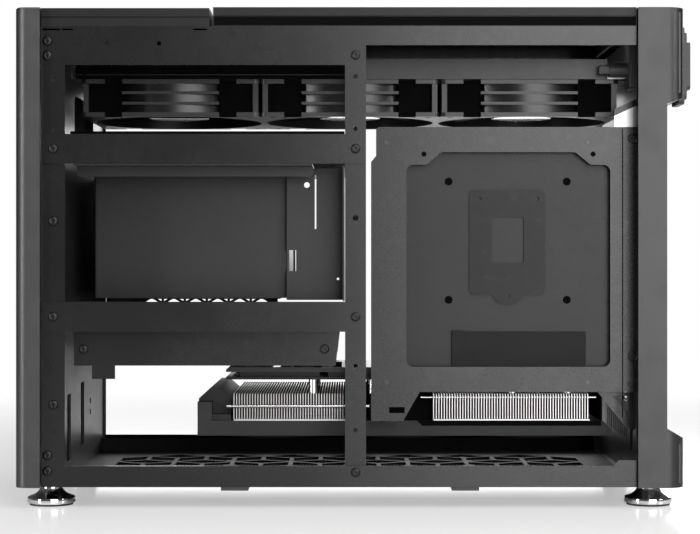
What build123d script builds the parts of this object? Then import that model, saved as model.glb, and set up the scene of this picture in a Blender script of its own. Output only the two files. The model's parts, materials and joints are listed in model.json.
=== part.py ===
from build123d import *
import os
from math import cos, radians, sin, sqrt

os.makedirs("parts", exist_ok=True)

# Overall size
body_length = 433.0
body_height = 310.0
foot_height = 14.0
frame_width = 200.0
panel_proud = 5.0
inlet_reach = 7.8

# Front and rear aluminium panels
front_panel_depth = 16.5
rear_panel_depth = 30.7
rear_step = 12.1
rear_step_top = 62.1
rear_step_bottom = 38.4
rear_step_slope = 7.1
rear_top_slope = 4.2
panel_corner_radius = 12.0
front_corner_radius = 8.0
panel_wall = 3.0

# Steel frame
sheet = 1.5
bar_sheet = 1.2
frame_height = 298.4
front_post_width = 15.5
top_beam_deep = 25.2
top_beam_slim = 12.3
bottom_beam = 13.7
beam_return = 12.0
rear_gap = 0.3
centre_post_start = 196.8
centre_post_width = 13.55
upper_bar_height = 209.4
upper_bar_width = 19.1
lower_bar_height = 100.6
lower_bar_width = 19.4
far_bar_width = 12.4
bar_inset = 1.5
front_wall_setback = 12.0
rear_wall_setback = 2.5
hole_radius = 1.5
head_radius = 3.1
head_height = 1.6

# Top covers
front_cover_length = 109.0
cover_gap = 2.4
cover_plate = 5.5
cover_skin = 2.0
cover_reveal = 1.0
vent_cover_step = 0.6
vent_slot_width = 5.0
vent_slot_pitch = 10.0
vent_slot_length = 76.0
vent_slot_rows = 2

# Floor
floor_sheet = 1.4
rhombus_edge = 24.0
rhombus_web = 3.2

# Fans
fan_size = 120.0
fan_depth = 25.0
fan_flange = 2.9
fan_bore = 58.0
fan_barrel = 59.9
fan_blades = 7
fan_pitch = 32.0
fan_drop = 30.5
fan_hole_pitch = 105.0
bracket_sheet = 1.3
bracket_lip = 12.0
lip_front_gap = 11.0
lip_rear_gap = 16.3
running_gap = 0.05

# Power supply
supply_length = 130.0
supply_height = 86.0
supply_width = 150.0
supply_start = 27.7

# Motherboard and its tray
tray_depth = 17.0
tray_sheet = 1.2
tray_start = 213.8
tray_height = 173.9
tray_bottom = 60.4
board_size = 170.0
board_sheet = 1.6
board_lift = 5.8

# Graphics card
card_depth = 35.0
card_width = 118.0
shroud_height = 10.0
shroud_length = 276.0
fin_height = 18.0
fin_pitch = 4.6
fin_gap = 3.3
post_rise = 9.4
card_fan_radius = 41.0
card_fan_tilt = 26.0

# Stations worked out from the driving sizes
front_face = -(body_length + inlet_reach) / 2
rear_face = front_face + body_length
frame_front = front_face + front_panel_depth
rear_inner = rear_face - rear_panel_depth
rear_middle = rear_face - rear_step
frame_rear = rear_inner - rear_gap
frame_bottom = foot_height
frame_top = frame_bottom + frame_height
top_face = foot_height + body_height
half = frame_width / 2
panel_half = half + panel_proud
inner_half = half - sheet
middle = front_face + body_length / 2
post_inner = frame_front + front_post_width
post_centre_line = frame_front + 8.1
corner_screw_line = frame_front + 4.2
centre_post_front = frame_front + centre_post_start
centre_post_rear = centre_post_front + centre_post_width
centre_post_middle = centre_post_front + centre_post_width / 2
upper_bar_bottom = frame_bottom + upper_bar_height
upper_bar_top = upper_bar_bottom + upper_bar_width
lower_bar_bottom = frame_bottom + lower_bar_height
lower_bar_top = lower_bar_bottom + lower_bar_width
front_wall = frame_front + front_wall_setback
rear_wall = rear_inner + rear_wall_setback


def side_plane(y):
    """Sketch plane facing the near side at this depth: local x is X, local y is Z."""
    return Plane.XZ.offset(-y)


def keep(piece, name):
    """Label one finished piece and write it to its own file."""
    piece.part.label = name
    export_step(piece.part, f"parts/{name}.step")


def box_between(low, high, mode=Mode.ADD):
    """A block given by its lowest and highest corners."""
    size = [b - a for a, b in zip(low, high)]
    centre = [(a + b) / 2 for a, b in zip(low, high)]
    with Locations(tuple(centre)):
        Box(*size, mode=mode)


def rhombus_centres(edge, turn):
    """Centres, about one cell, of the rhombi whose short diagonal points at this angle."""
    return (edge / 2 * cos(radians(turn)), edge / 2 * sin(radians(turn)))


def rhombus_holes(low, high, edge, web):
    """Cut a tumbling-block pattern of rhombi inside a rectangle of the current sketch."""
    scale = 1 - web / (edge * sin(radians(60)))
    long_half = edge * sqrt(3) / 2 * scale
    short_half = edge / 2 * scale
    row_step = edge * 1.5
    column_step = edge * sqrt(3)
    centre = ((low[0] + high[0]) / 2, (low[1] + high[1]) / 2)
    columns = int((high[0] - low[0]) / column_step / 2) + 2
    rows = int((high[1] - low[1]) / row_step / 2) + 2
    for turn in (30, 150, 270):
        spots = []
        reach_x = abs(short_half * cos(radians(turn))) + abs(long_half * sin(radians(turn)))
        reach_y = abs(short_half * sin(radians(turn))) + abs(long_half * cos(radians(turn)))
        off = rhombus_centres(edge, turn)
        for row in range(-rows, rows + 1):
            for column in range(-columns, columns + 1):
                x = centre[0] + (column + (row % 2) / 2) * column_step + off[0]
                y = centre[1] + row * row_step + off[1]
                inside_x = low[0] < x - reach_x * 0.9 and x + reach_x * 0.9 < high[0]
                inside_y = low[1] < y - reach_y * 0.9 and y + reach_y * 0.9 < high[1]
                if inside_x and inside_y:
                    spots.append((x, y))
        with Locations(*spots):
            Polygon(
                (-short_half, 0),
                (0, long_half),
                (short_half, 0),
                (0, -long_half),
                rotation=turn,
                mode=Mode.SUBTRACT,
            )


# Front panel: a rounded aluminium shell, open towards the frame
with BuildPart() as front_panel:
    with BuildSketch(Plane.XY.offset(foot_height)) as outline:
        with Locations(((front_face + frame_front) / 2, 0)):
            Rectangle(front_panel_depth, 2 * panel_half)
        front_corners = outline.vertices().group_by(Axis.X)[0]
        fillet(front_corners, radius=front_corner_radius)
    extrude(amount=body_height)
    box_between(
        (front_face + panel_wall, -panel_half + panel_wall, foot_height + panel_wall),
        (frame_front, panel_half - panel_wall, top_face - panel_wall),
        Mode.SUBTRACT,
    )
    boss_plane = Plane.YZ.offset(front_face + panel_wall)
    with BuildSketch(boss_plane):
        with Locations((0, foot_height + body_height / 2)):
            with GridLocations(frame_width - 50, body_height - 60, 2, 2):
                Circle(5)
    extrude(amount=front_wall - front_face - panel_wall)
    top_edges = front_panel.edges().group_by(Axis.Z)[-1].group_by(Axis.X)[0]
    chamfer(top_edges, length=0.8)
keep(front_panel, "front_panel")

# Rear panel: the same shell with a stepped back, open in its middle
step_top = top_face - rear_step_top
step_bottom = frame_bottom + rear_step_bottom
with BuildPart() as rear_panel:
    with BuildSketch(Plane.XY.offset(foot_height)) as outline:
        with Locations(((rear_inner + rear_face) / 2, 0)):
            Rectangle(rear_panel_depth, 2 * panel_half)
        rear_corners = outline.vertices().group_by(Axis.X)[-1]
        fillet(rear_corners, radius=panel_corner_radius)
    extrude(amount=body_height)
    with BuildSketch(side_plane(-panel_half)):
        with BuildLine():
            Polyline(
                (rear_middle, step_bottom),
                (rear_face, step_bottom - rear_step_slope),
                (rear_face + 1, step_bottom - rear_step_slope),
                (rear_face + 1, step_top + rear_top_slope),
                (rear_face, step_top + rear_top_slope),
                (rear_middle, step_top),
                close=True,
            )
        make_face()
    extrude(amount=-2 * panel_half, mode=Mode.SUBTRACT)
    with BuildSketch(side_plane(-panel_half + panel_wall)):
        with BuildLine():
            Polyline(
                (rear_inner, foot_height + panel_wall),
                (rear_face - panel_wall, foot_height + panel_wall),
                (rear_face - panel_wall, step_bottom - rear_step_slope - panel_wall),
                (rear_middle - panel_wall, step_bottom - panel_wall),
                (rear_middle - panel_wall, step_top + panel_wall),
                (rear_face - panel_wall, step_top + rear_top_slope + panel_wall),
                (rear_face - panel_wall, top_face - panel_wall),
                (rear_inner, top_face - panel_wall),
                close=True,
            )
        make_face()
    extrude(amount=-2 * (panel_half - panel_wall), mode=Mode.SUBTRACT)
    corner_post = 9.0
    for side in (-1, 1):
        edge = side * (panel_half - panel_wall)
        low_y, high_y = sorted((edge, edge - side * corner_post))
        box_between(
            (rear_middle - panel_wall, low_y, foot_height + panel_wall),
            (rear_face - panel_wall, high_y, step_bottom - rear_step_slope - panel_wall),
        )
        box_between(
            (rear_middle - panel_wall, low_y, step_top + rear_top_slope + panel_wall),
            (rear_face - panel_wall, high_y, top_face - panel_wall),
        )
    with BuildSketch(Plane.YZ.offset(rear_middle)):
        with Locations((0, (step_bottom + step_top) / 2)):
            RectangleRounded(2 * panel_half - 28, step_top - step_bottom - 16, 5)
    extrude(amount=-2 * panel_wall, mode=Mode.SUBTRACT)
    inlet_hole = (-half + 34, top_face - 35)
    with BuildSketch(Plane.YZ.offset(rear_face)):
        with Locations(inlet_hole):
            RectangleRounded(21, 30, 2)
    extrude(amount=-2 * panel_wall, mode=Mode.SUBTRACT)
keep(rear_panel, "rear_panel")

# Side frame: one C-shaped steel sheet with folded top and bottom returns
raised_start = frame_rear - 11.4
raised_height = 3.7
beam_top = frame_bottom + bottom_beam
near_face = side_plane(-half)
corner_screws = [
    (corner_screw_line, frame_top - 9.7),
    (corner_screw_line, frame_top - 19.1),
    (corner_screw_line, frame_bottom + 20.7),
    (corner_screw_line, frame_bottom + 10.4),
]
post_screws = [
    (post_centre_line, upper_bar_bottom + upper_bar_width / 2),
    (post_centre_line, (upper_bar_bottom + lower_bar_top) / 2 + 7.5),
    (post_centre_line, lower_bar_bottom + lower_bar_width / 2),
    (post_centre_line, frame_bottom + 53.4),
]
centre_screws = [
    (centre_post_middle, frame_top - 18.8),
    (centre_post_middle, upper_bar_bottom + upper_bar_width / 2),
    (centre_post_middle, lower_bar_bottom + lower_bar_width / 2),
    (centre_post_middle, frame_bottom + 9.6),
]
post_holes = [
    (post_centre_line, frame_top - 35.0),
    (post_centre_line, upper_bar_top + 2.6),
    (post_centre_line, lower_bar_bottom - 22.2),
    (post_centre_line, frame_bottom + 36.6),
]
beam_holes = [
    (frame_front + 43.1, frame_top - 11.3),
    (frame_front + 76.4, frame_top - 11.3),
]
with BuildPart() as near_side_frame:
    with BuildSketch(near_face):
        with BuildLine():
            Polyline(
                (frame_front, frame_bottom),
                (frame_rear, frame_bottom),
                (frame_rear, beam_top + raised_height),
                (raised_start, beam_top + raised_height),
                (raised_start - raised_height, beam_top),
                (post_inner, beam_top),
                (post_inner, frame_top - top_beam_deep),
                (centre_post_rear, frame_top - top_beam_deep),
                (centre_post_rear, frame_top - top_beam_slim),
                (frame_rear, frame_top - top_beam_slim),
                (frame_rear, frame_top),
                (frame_front, frame_top),
                close=True,
            )
        make_face()
    extrude(amount=-sheet)
    inward = half - sheet - beam_return
    box_between((frame_front, -inner_half, frame_top - sheet), (frame_rear, -inward, frame_top))
    box_between((frame_front, -inner_half, frame_bottom), (frame_rear, -inward, frame_bottom + sheet))
    with BuildSketch(near_face):
        with Locations(*post_holes, *beam_holes):
            Circle(hole_radius)
    extrude(amount=-sheet, mode=Mode.SUBTRACT)
    slot_height = 1.2
    with BuildSketch(near_face):
        with Locations((frame_front + 11, frame_top - 2.2)):
            Rectangle(20.0, slot_height)
        with Locations((frame_front + front_cover_length - 6, frame_top - 2.2)):
            Rectangle(9.0, slot_height)
    extrude(amount=-sheet, mode=Mode.SUBTRACT)
keep(near_side_frame, "near_side_frame")

with BuildPart() as far_side_frame:
    mirror(near_side_frame.part, about=Plane.XZ)
keep(far_side_frame, "far_side_frame")

# Centre post: a strip between the beams, joggled behind them at both ends
post_low = beam_top + 2.6
post_high = frame_top - top_beam_deep
post_tab = 13.0
with BuildPart() as near_centre_post:
    with BuildSketch(near_face):
        with Locations((centre_post_middle, (post_low + post_high) / 2)):
            Rectangle(centre_post_width, post_high - post_low)
        with Locations(
            (centre_post_middle, frame_top - 32.7),
            (centre_post_middle, upper_bar_top + 3.6),
            (centre_post_middle, lower_bar_bottom - 22.4),
            (centre_post_middle, frame_bottom + 37.0),
        ):
            Circle(hole_radius, mode=Mode.SUBTRACT)
        with Locations((centre_post_middle, (upper_bar_bottom + lower_bar_top) / 2 + 9.5)):
            Circle(hole_radius + 0.4, mode=Mode.SUBTRACT)
    extrude(amount=-sheet)
    with BuildSketch(side_plane(-inner_half)):
        with Locations((centre_post_middle, post_high + post_tab / 2 - 5)):
            Rectangle(centre_post_width, post_tab + 10)
        with Locations((centre_post_middle, post_low)):
            Rectangle(centre_post_width, 18)
        with Locations((centre_post_middle, frame_top - 32.7)):
            Circle(hole_radius, mode=Mode.SUBTRACT)
    extrude(amount=-sheet)
keep(near_centre_post, "near_centre_post")

with BuildPart() as far_centre_post:
    mirror(near_centre_post.part, about=Plane.XZ)
keep(far_centre_post, "far_centre_post")

# Crossbars: folded strips laid over the posts, with a return along each edge
bar_return = 14.0


def crossbar(bottom, width, return_low):
    """A near-side crossbar from the front post to the centre post, with one folded edge."""
    start = frame_front + bar_inset
    with BuildPart() as bar:
        with BuildSketch(side_plane(-half - bar_sheet)):
            with Locations(((start + centre_post_rear) / 2, bottom + width / 2)):
                Rectangle(centre_post_rear - start, width)
        extrude(amount=-bar_sheet)
        inner_start = post_inner + rear_gap
        inner_end = centre_post_front - rear_gap
        box_between(
            (inner_start, -half - bar_sheet / 2, return_low),
            (inner_end, -half + bar_return, return_low + bar_sheet),
        )
    return bar


upper_return = upper_bar_top - bar_sheet
near_upper_crossbar = crossbar(upper_bar_bottom, upper_bar_width, upper_return)
near_lower_crossbar = crossbar(lower_bar_bottom, lower_bar_width, lower_bar_bottom)
keep(near_upper_crossbar, "near_upper_crossbar")
keep(near_lower_crossbar, "near_lower_crossbar")
with BuildPart() as far_upper_crossbar:
    mirror(near_upper_crossbar.part, about=Plane.XZ)
keep(far_upper_crossbar, "far_upper_crossbar")
slim_bar = crossbar(lower_bar_bottom, far_bar_width, lower_bar_bottom)
with BuildPart() as far_lower_crossbar:
    mirror(slim_bar.part, about=Plane.XZ)
keep(far_lower_crossbar, "far_lower_crossbar")

# Front inner wall: joins the two side frames behind the front panel
with BuildPart() as front_inner_wall:
    wall_plane = Plane.YZ.offset(front_wall)
    with BuildSketch(wall_plane):
        with Locations((0, (frame_bottom + frame_top) / 2)):
            Rectangle(2 * inner_half, frame_height - 2 * sheet)
        with Locations((-69, frame_bottom + 36), (-8, frame_bottom + 40)):
            Rectangle(16, 44, mode=Mode.SUBTRACT)
        with Locations((30, frame_bottom + 46), (30, frame_bottom + 38)):
            Rectangle(5, 4, mode=Mode.SUBTRACT)
        with Locations((0, frame_top - 60)):
            RectangleRounded(90, 40, 6, mode=Mode.SUBTRACT)
    extrude(amount=sheet)
    for side in (-1, 1):
        edge = side * inner_half
        low_y, high_y = sorted((edge, edge - side * sheet))
        box_between(
            (frame_front + 0.5, low_y, frame_bottom + 2 * sheet),
            (front_wall + sheet, high_y, frame_top - 2 * sheet),
        )
keep(front_inner_wall, "front_inner_wall")

# Rear inner wall: carries the board's ports, the card slots and the tray
tray_face = -half + tray_depth
tray_front = frame_front + tray_start
tray_top = frame_bottom + tray_bottom + tray_height
tray_low = frame_bottom + tray_bottom
board_near = tray_face + tray_sheet + board_lift
board_rear = rear_wall - 0.6
board_front = board_rear - board_size
board_low = tray_low + 0.1
wall_narrow = -tray_face - tray_sheet
port_low = board_low + 6
port_high = port_low + 158.75
port_near = board_near + board_sheet
port_far = port_near + 44.5
slot_low = frame_bottom + 24
slot_high = slot_low + 42
slot_near = -half + 44
slot_far = slot_near + 108
wall_low = frame_bottom + panel_wall + rear_gap
wall_high = frame_top - 2 * sheet
wall_lap = 1.0
tray_flange = 13.0
stiffening_lip = 3.6
with BuildPart() as rear_inner_wall:
    wall_plane = Plane.YZ.offset(rear_wall)
    with BuildSketch(wall_plane):
        with Locations((0, (wall_low + wall_high) / 2)):
            Rectangle(2 * inner_half, wall_high - wall_low)
        for side in (-1, 1):
            low = frame_bottom + 20
            high = frame_top - 24
            with Locations((side * (half + wall_narrow) / 2, (low + high) / 2)):
                Rectangle(half - wall_narrow, high - low, mode=Mode.SUBTRACT)
        with Locations(((port_near + port_far) / 2, (port_low + port_high) / 2)):
            Rectangle(port_far - port_near, port_high - port_low, mode=Mode.SUBTRACT)
        with Locations(((slot_near + slot_far) / 2, (slot_low + slot_high) / 2)):
            Rectangle(slot_far - slot_near, slot_high - slot_low, mode=Mode.SUBTRACT)
        with Locations(inlet_hole):
            RectangleRounded(22, 31, 2, mode=Mode.SUBTRACT)
    extrude(amount=bar_sheet)
    for side in (-1, 1):
        edge = side * inner_half
        low_y, high_y = sorted((edge, edge - side * bar_sheet))
        for low, high in (
            (wall_low, beam_top + raised_height),
            (frame_top - top_beam_slim, wall_high),
        ):
            box_between((frame_rear - wall_lap, low_y, low), (rear_wall, high_y, high))
    for side, flange in ((-1, tray_flange), (1, stiffening_lip)):
        edge = side * wall_narrow
        low_y, high_y = sorted((edge, edge - side * bar_sheet))
        box_between(
            (rear_wall - flange, low_y, tray_low), (rear_wall + bar_sheet, high_y, tray_top)
        )
keep(rear_inner_wall, "rear_inner_wall")

# Floor plate with a tumbling-block pattern of rhombi
floor_low = frame_bottom + sheet
with BuildPart() as floor_plate:
    floor_front = front_wall + sheet
    floor_rear = rear_inner - rear_gap
    floor_half = inner_half - sheet
    with BuildSketch(Plane.XY.offset(floor_low)):
        with Locations(((floor_front + floor_rear) / 2, 0)):
            Rectangle(floor_rear - floor_front, 2 * floor_half)
        rhombus_holes(
            (floor_front + 14, -half + 18), (floor_rear - 14, half - 18), rhombus_edge, rhombus_web
        )
    extrude(amount=floor_sheet)
    for side in (-1, 1):
        edge = side * floor_half
        low_y, high_y = sorted((edge, edge - side * floor_sheet))
        box_between((floor_front, low_y, floor_low), (floor_rear - 12, high_y, beam_top - 1))
keep(floor_plate, "floor_plate")

# Dust filter: a rimmed mesh under the floor, with two pull tabs on the near side
filter_half = half - sheet - beam_return - 1.0
filter_tabs = (middle - 74.8, middle + 74.8)
filter_rim = 8.0
with BuildPart() as dust_filter:
    filter_length = floor_rear - floor_front - 24
    with BuildSketch(Plane.XY.offset(frame_bottom)):
        with Locations(((floor_front + floor_rear) / 2, 0)):
            Rectangle(filter_length, 2 * filter_half)
            with GridLocations((filter_length - filter_rim) / 4, 0, 4, 1):
                cell = (filter_length - filter_rim) / 4 - filter_rim
                Rectangle(cell, 2 * (filter_half - filter_rim), mode=Mode.SUBTRACT)
    extrude(amount=floor_low - frame_bottom)
    for tab in filter_tabs:
        box_between(
            (tab - 8.8, -half + 1.0, frame_bottom - 2.4), (tab + 8.8, -filter_half, frame_bottom)
        )
        box_between(
            (tab - 8.8, -filter_half, frame_bottom - 2.4),
            (tab + 8.8, -filter_half + 4, frame_bottom + sheet),
        )
keep(dust_filter, "dust_filter")

# Feet: turned bell shapes on rubber pads
foot_line = frame_front + 3.0
foot_spots = [
    (x, y) for x in (foot_line, rear_inner + 10.9) for y in (-half + 24, half - 24)
]
pad_height = 1.2
with BuildPart() as feet:
    with BuildSketch(Plane.XZ) as half_section:
        with BuildLine():
            Polyline((0, pad_height), (14.2, pad_height), (15.6, 2.2), (15.6, 4.4))
            Polyline((15.6, 4.4), (11.2, 6.3), (8.6, 8.3), (7.6, 10.6), (7.6, foot_height))
            Polyline((7.6, foot_height), (0, foot_height), (0, pad_height))
        make_face()
    with Locations(*[Location((x, y, 0)) for x, y in foot_spots]):
        add(revolve(half_section.sketch, axis=Axis.Z, mode=Mode.PRIVATE))
keep(feet, "feet")

with BuildPart() as foot_pads:
    with BuildSketch(Plane.XY):
        with Locations(*foot_spots):
            Circle(14.2)
    extrude(amount=pad_height)
keep(foot_pads, "foot_pads")

# Top covers: pans with a thick top plate, a shadow reveal and a rim that rests on the frame
front_cover_start = frame_front + rear_gap
front_cover_end = frame_front + front_cover_length
vent_cover_start = front_cover_end + cover_gap
vent_cover_end = rear_inner - rear_gap


def cover_pan(start, end, top):
    """A hollow cover between two stations, in the current part."""
    box_between((start, -half, frame_top), (end, half, top))
    reveal_top = top - cover_plate
    reveal_low = reveal_top - cover_reveal
    for side in (-1, 1):
        low_y, high_y = sorted((side * half, side * (half - cover_reveal)))
        box_between((start, low_y, reveal_low), (end, high_y, reveal_top), Mode.SUBTRACT)
    box_between(
        (start + cover_skin, -half + cover_skin + 1, frame_top),
        (end - cover_skin, half - cover_skin - 1, top - cover_skin),
        Mode.SUBTRACT,
    )


button_spot = (front_cover_start + 30, 52)
button_radius = 6.0
button_clearance = 0.1
button_collar = 1.2
button_travel = 1.2
port_spot = (front_cover_start + 30, 8)
port_length = 46.0
port_width = 9.0
port_depth = 6.0
with BuildPart() as top_front_cover:
    cover_pan(front_cover_start, front_cover_end, top_face)
    with BuildSketch(Plane.XY.offset(top_face)):
        with Locations(button_spot):
            Circle(button_radius + button_clearance)
        with Locations(port_spot):
            Rectangle(port_width, port_length)
    extrude(amount=-cover_skin, mode=Mode.SUBTRACT)
keep(top_front_cover, "top_front_cover")

with BuildPart() as power_button:
    skin_under = top_face - cover_skin
    with BuildSketch(Plane.XY.offset(skin_under - button_clearance)):
        with Locations(button_spot):
            Circle(button_radius)
    extrude(amount=cover_skin + button_clearance + 0.4)
    rim = power_button.edges().group_by(Axis.Z)[-1]
    chamfer(rim, length=0.4)
    with BuildSketch(Plane.XY.offset(skin_under - button_clearance)):
        with Locations(button_spot):
            Circle(button_radius + 1)
    extrude(amount=-button_collar)
    with BuildSketch(Plane.XY.offset(skin_under - button_clearance - button_collar)):
        with Locations(button_spot):
            Circle(2)
    extrude(amount=-1.5)
keep(power_button, "power_button")

# Switch and port board hung under the front cover's skin
switch_top = skin_under - button_clearance - button_collar - 1.5 - button_travel - 0.2
with BuildPart() as port_insert:
    with BuildSketch(Plane.XY.offset(top_face - 0.4)):
        with Locations(port_spot):
            Rectangle(port_width - 0.2, port_length - 0.2)
            Rectangle(port_width - 3, 14, mode=Mode.SUBTRACT)
            with Locations((0, -15), (0, 15)):
                Rectangle(port_width - 6, 9, mode=Mode.SUBTRACT)
    extrude(amount=-(cover_skin + port_depth))
    board_top_z = top_face - 0.4 - cover_skin - port_depth
    with BuildSketch(Plane.XY.offset(board_top_z)):
        with Locations(((port_spot[0] + button_spot[0]) / 2, (port_spot[1] + button_spot[1]) / 2 + 2)):
            Rectangle(22, button_spot[1] - port_spot[1] + 54)
    extrude(amount=-1.6)
    box_between(
        (button_spot[0] - 3, button_spot[1] - 3, board_top_z),
        (button_spot[0] + 3, button_spot[1] + 3, switch_top),
    )
    for side in (-1, 1):
        y = (port_spot[1] + button_spot[1]) / 2 + 2 + side * (button_spot[1] - port_spot[1] + 44) / 2
        with BuildSketch(Plane.XY.offset(board_top_z)):
            with Locations((button_spot[0], y)):
                Circle(2.5)
        extrude(amount=skin_under - board_top_z)
keep(port_insert, "port_insert")

with BuildPart() as top_vent_cover:
    vent_top = top_face + vent_cover_step
    cover_pan(vent_cover_start, vent_cover_end, vent_top)
    slot_count = int((vent_cover_end - vent_cover_start - 30) / vent_slot_pitch)
    with BuildSketch(Plane.XY.offset(vent_top)):
        with Locations(((vent_cover_start + vent_cover_end) / 2, 0)):
            with GridLocations(vent_slot_pitch, vent_slot_length + 10, slot_count, vent_slot_rows):
                Rectangle(vent_slot_width, vent_slot_length)
    extrude(amount=-cover_skin, mode=Mode.SUBTRACT)
keep(top_vent_cover, "top_vent_cover")

# Pull tab standing on the rear panel
tab_start = rear_inner + 10.0
tab_height = 12.0
with BuildPart() as pull_tab:
    with BuildSketch(side_plane(-16)):
        with BuildLine():
            Polyline(
                (tab_start, top_face),
                (tab_start + 5.0, top_face),
                (tab_start + 5.8, top_face + tab_height),
                (tab_start + 3.6, top_face + tab_height),
                close=True,
            )
        make_face()
    extrude(amount=-32)
keep(pull_tab, "pull_tab")

# Fans: square frames with a round bore, and rotors on a pin below the motor cup
fan_top = frame_top - fan_drop
fan_bottom = fan_top - fan_depth
motor_radius = 20.0
pin_radius = 4.0
cup_height = 3.0
hub_low = 3.2
rib_height = 1.9


def fan_frame(base):
    """One square fan frame standing on this plane, with its motor cup and pin at the top."""
    with BuildPart() as frame:
        for height in (0, fan_depth - fan_flange):
            with BuildSketch(base.offset(height)):
                RectangleRounded(fan_size, fan_size, 4)
                Circle(fan_bore, mode=Mode.SUBTRACT)
                with GridLocations(fan_hole_pitch, fan_hole_pitch, 2, 2):
                    RegularPolygon(2.4, 6, mode=Mode.SUBTRACT)
                with GridLocations(76.5, fan_size, 2, 2):
                    Rectangle(11.7, 12, mode=Mode.SUBTRACT)
            extrude(amount=fan_flange)
        inner_height = fan_depth - 2 * fan_flange
        with BuildSketch(base.offset(fan_flange)):
            RegularPolygon(fan_barrel, 24)
            with GridLocations(fan_size - 6.5, fan_size - 6.5, 2, 2):
                Rectangle(3.5, 3.5)
            Circle(fan_bore, mode=Mode.SUBTRACT)
        extrude(amount=inner_height)
        rib_gap = (inner_height - 2 * rib_height) / 3
        for height in (rib_gap, 2 * rib_gap + rib_height):
            with BuildSketch(base.offset(fan_flange + height)):
                Rectangle(64.8, fan_size)
                Circle(fan_bore, mode=Mode.SUBTRACT)
            extrude(amount=rib_height)
        with BuildSketch(base.offset(fan_depth - cup_height)):
            Circle(motor_radius)
            with PolarLocations(0, 4, start_angle=45):
                with Locations((fan_bore / 2 + 5, 0)):
                    Rectangle(fan_bore - 8, 4.5)
        extrude(amount=cup_height)
        with BuildSketch(base.offset(fan_depth - cup_height)):
            Circle(pin_radius)
        extrude(amount=-(fan_depth - cup_height - hub_low - 3))
    return frame


def fan_rotor(base, radius, hub_radius, depth, blades, pin, pitch):
    """A bladed rotor standing on this plane, with a blind bore for a pin from above."""
    chord_limit = depth * 0.9 / sin(radians(pitch))
    chord = 2 * hub_radius * sin(radians(180 / blades)) * 0.98 / cos(radians(pitch))
    chord = min(chord, chord_limit)
    tip_chord = min(radius * 0.62, chord_limit)
    root_origin = base.from_local_coords((hub_radius - 1.2, 0, depth / 2))
    tip_origin = base.from_local_coords((radius + 3, 0, depth / 2))
    with BuildPart() as blade:
        with BuildSketch(Plane(root_origin, x_dir=base.y_dir, z_dir=base.x_dir)):
            Rectangle(chord, 1.5, rotation=pitch)
        with BuildSketch(Plane(tip_origin, x_dir=base.y_dir, z_dir=base.x_dir)):
            Rectangle(tip_chord, 1.3, rotation=pitch)
        loft(ruled=True)
        with BuildSketch(base):
            Circle(radius)
        extrude(amount=depth, mode=Mode.INTERSECT)
    with BuildPart(base) as rotor:
        with PolarLocations(0, blades):
            add(blade.part.moved(base.location.inverse()))
        with BuildSketch(base):
            Circle(hub_radius)
        extrude(amount=depth)
        with BuildSketch(base.offset(3)):
            Circle(pin + running_gap)
        extrude(amount=depth - 3, mode=Mode.SUBTRACT)
    return rotor


rotor_low = hub_low
rotor_depth = fan_depth - cup_height - hub_low - 0.5
rotor_radius = fan_bore - 1.2
fan_centres = [middle + (number - 1) * fan_size for number in range(3)]
for fan_number, fan_x in enumerate(fan_centres, 1):
    fan_base = Plane(origin=(fan_x, 0, fan_bottom))
    keep(fan_frame(fan_base), f"fan_frame_{fan_number}")
    rotor_base = fan_base.offset(rotor_low)
    rotor = fan_rotor(
        rotor_base, rotor_radius, motor_radius + 1, rotor_depth, fan_blades, pin_radius, fan_pitch
    )
    keep(rotor, f"fan_rotor_{fan_number}")

# Fan bracket: one folded plate over the fans, fixed to the front and rear inner walls
bracket_half = fan_size / 2 + 1.5
lip_start = front_wall + lip_front_gap
lip_end = rear_wall - lip_rear_gap
inlet_far = inlet_hole[0] + 18
with BuildPart() as fan_bracket:
    plate_start = front_wall + sheet
    with BuildSketch(Plane.XY.offset(fan_top)):
        with Locations(((plate_start + rear_wall) / 2, 0)):
            Rectangle(rear_wall - plate_start, 2 * bracket_half)
        with Locations(*[(x, 0) for x in fan_centres]):
            Circle(fan_bore - 1, mode=Mode.SUBTRACT)
        with Locations((rear_wall, -bracket_half)):
            Rectangle(
                2 * (rear_wall - lip_end), 2 * (bracket_half + inlet_far), mode=Mode.SUBTRACT
            )
    extrude(amount=bracket_sheet)
    for side in (-1, 1):
        low_y, high_y = sorted((side * bracket_half, side * (bracket_half - bracket_sheet)))
        box_between(
            (lip_start, low_y, fan_top), (lip_end, high_y, fan_top + bracket_sheet + bracket_lip)
        )
    box_between(
        (plate_start, -bracket_half, fan_top),
        (plate_start + bracket_sheet, bracket_half, fan_top + bracket_lip),
    )
    box_between(
        (rear_wall - bracket_sheet, inlet_far + 2, fan_top),
        (rear_wall, bracket_half, fan_top + bracket_lip),
    )
keep(fan_bracket, "fan_bracket")

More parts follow.
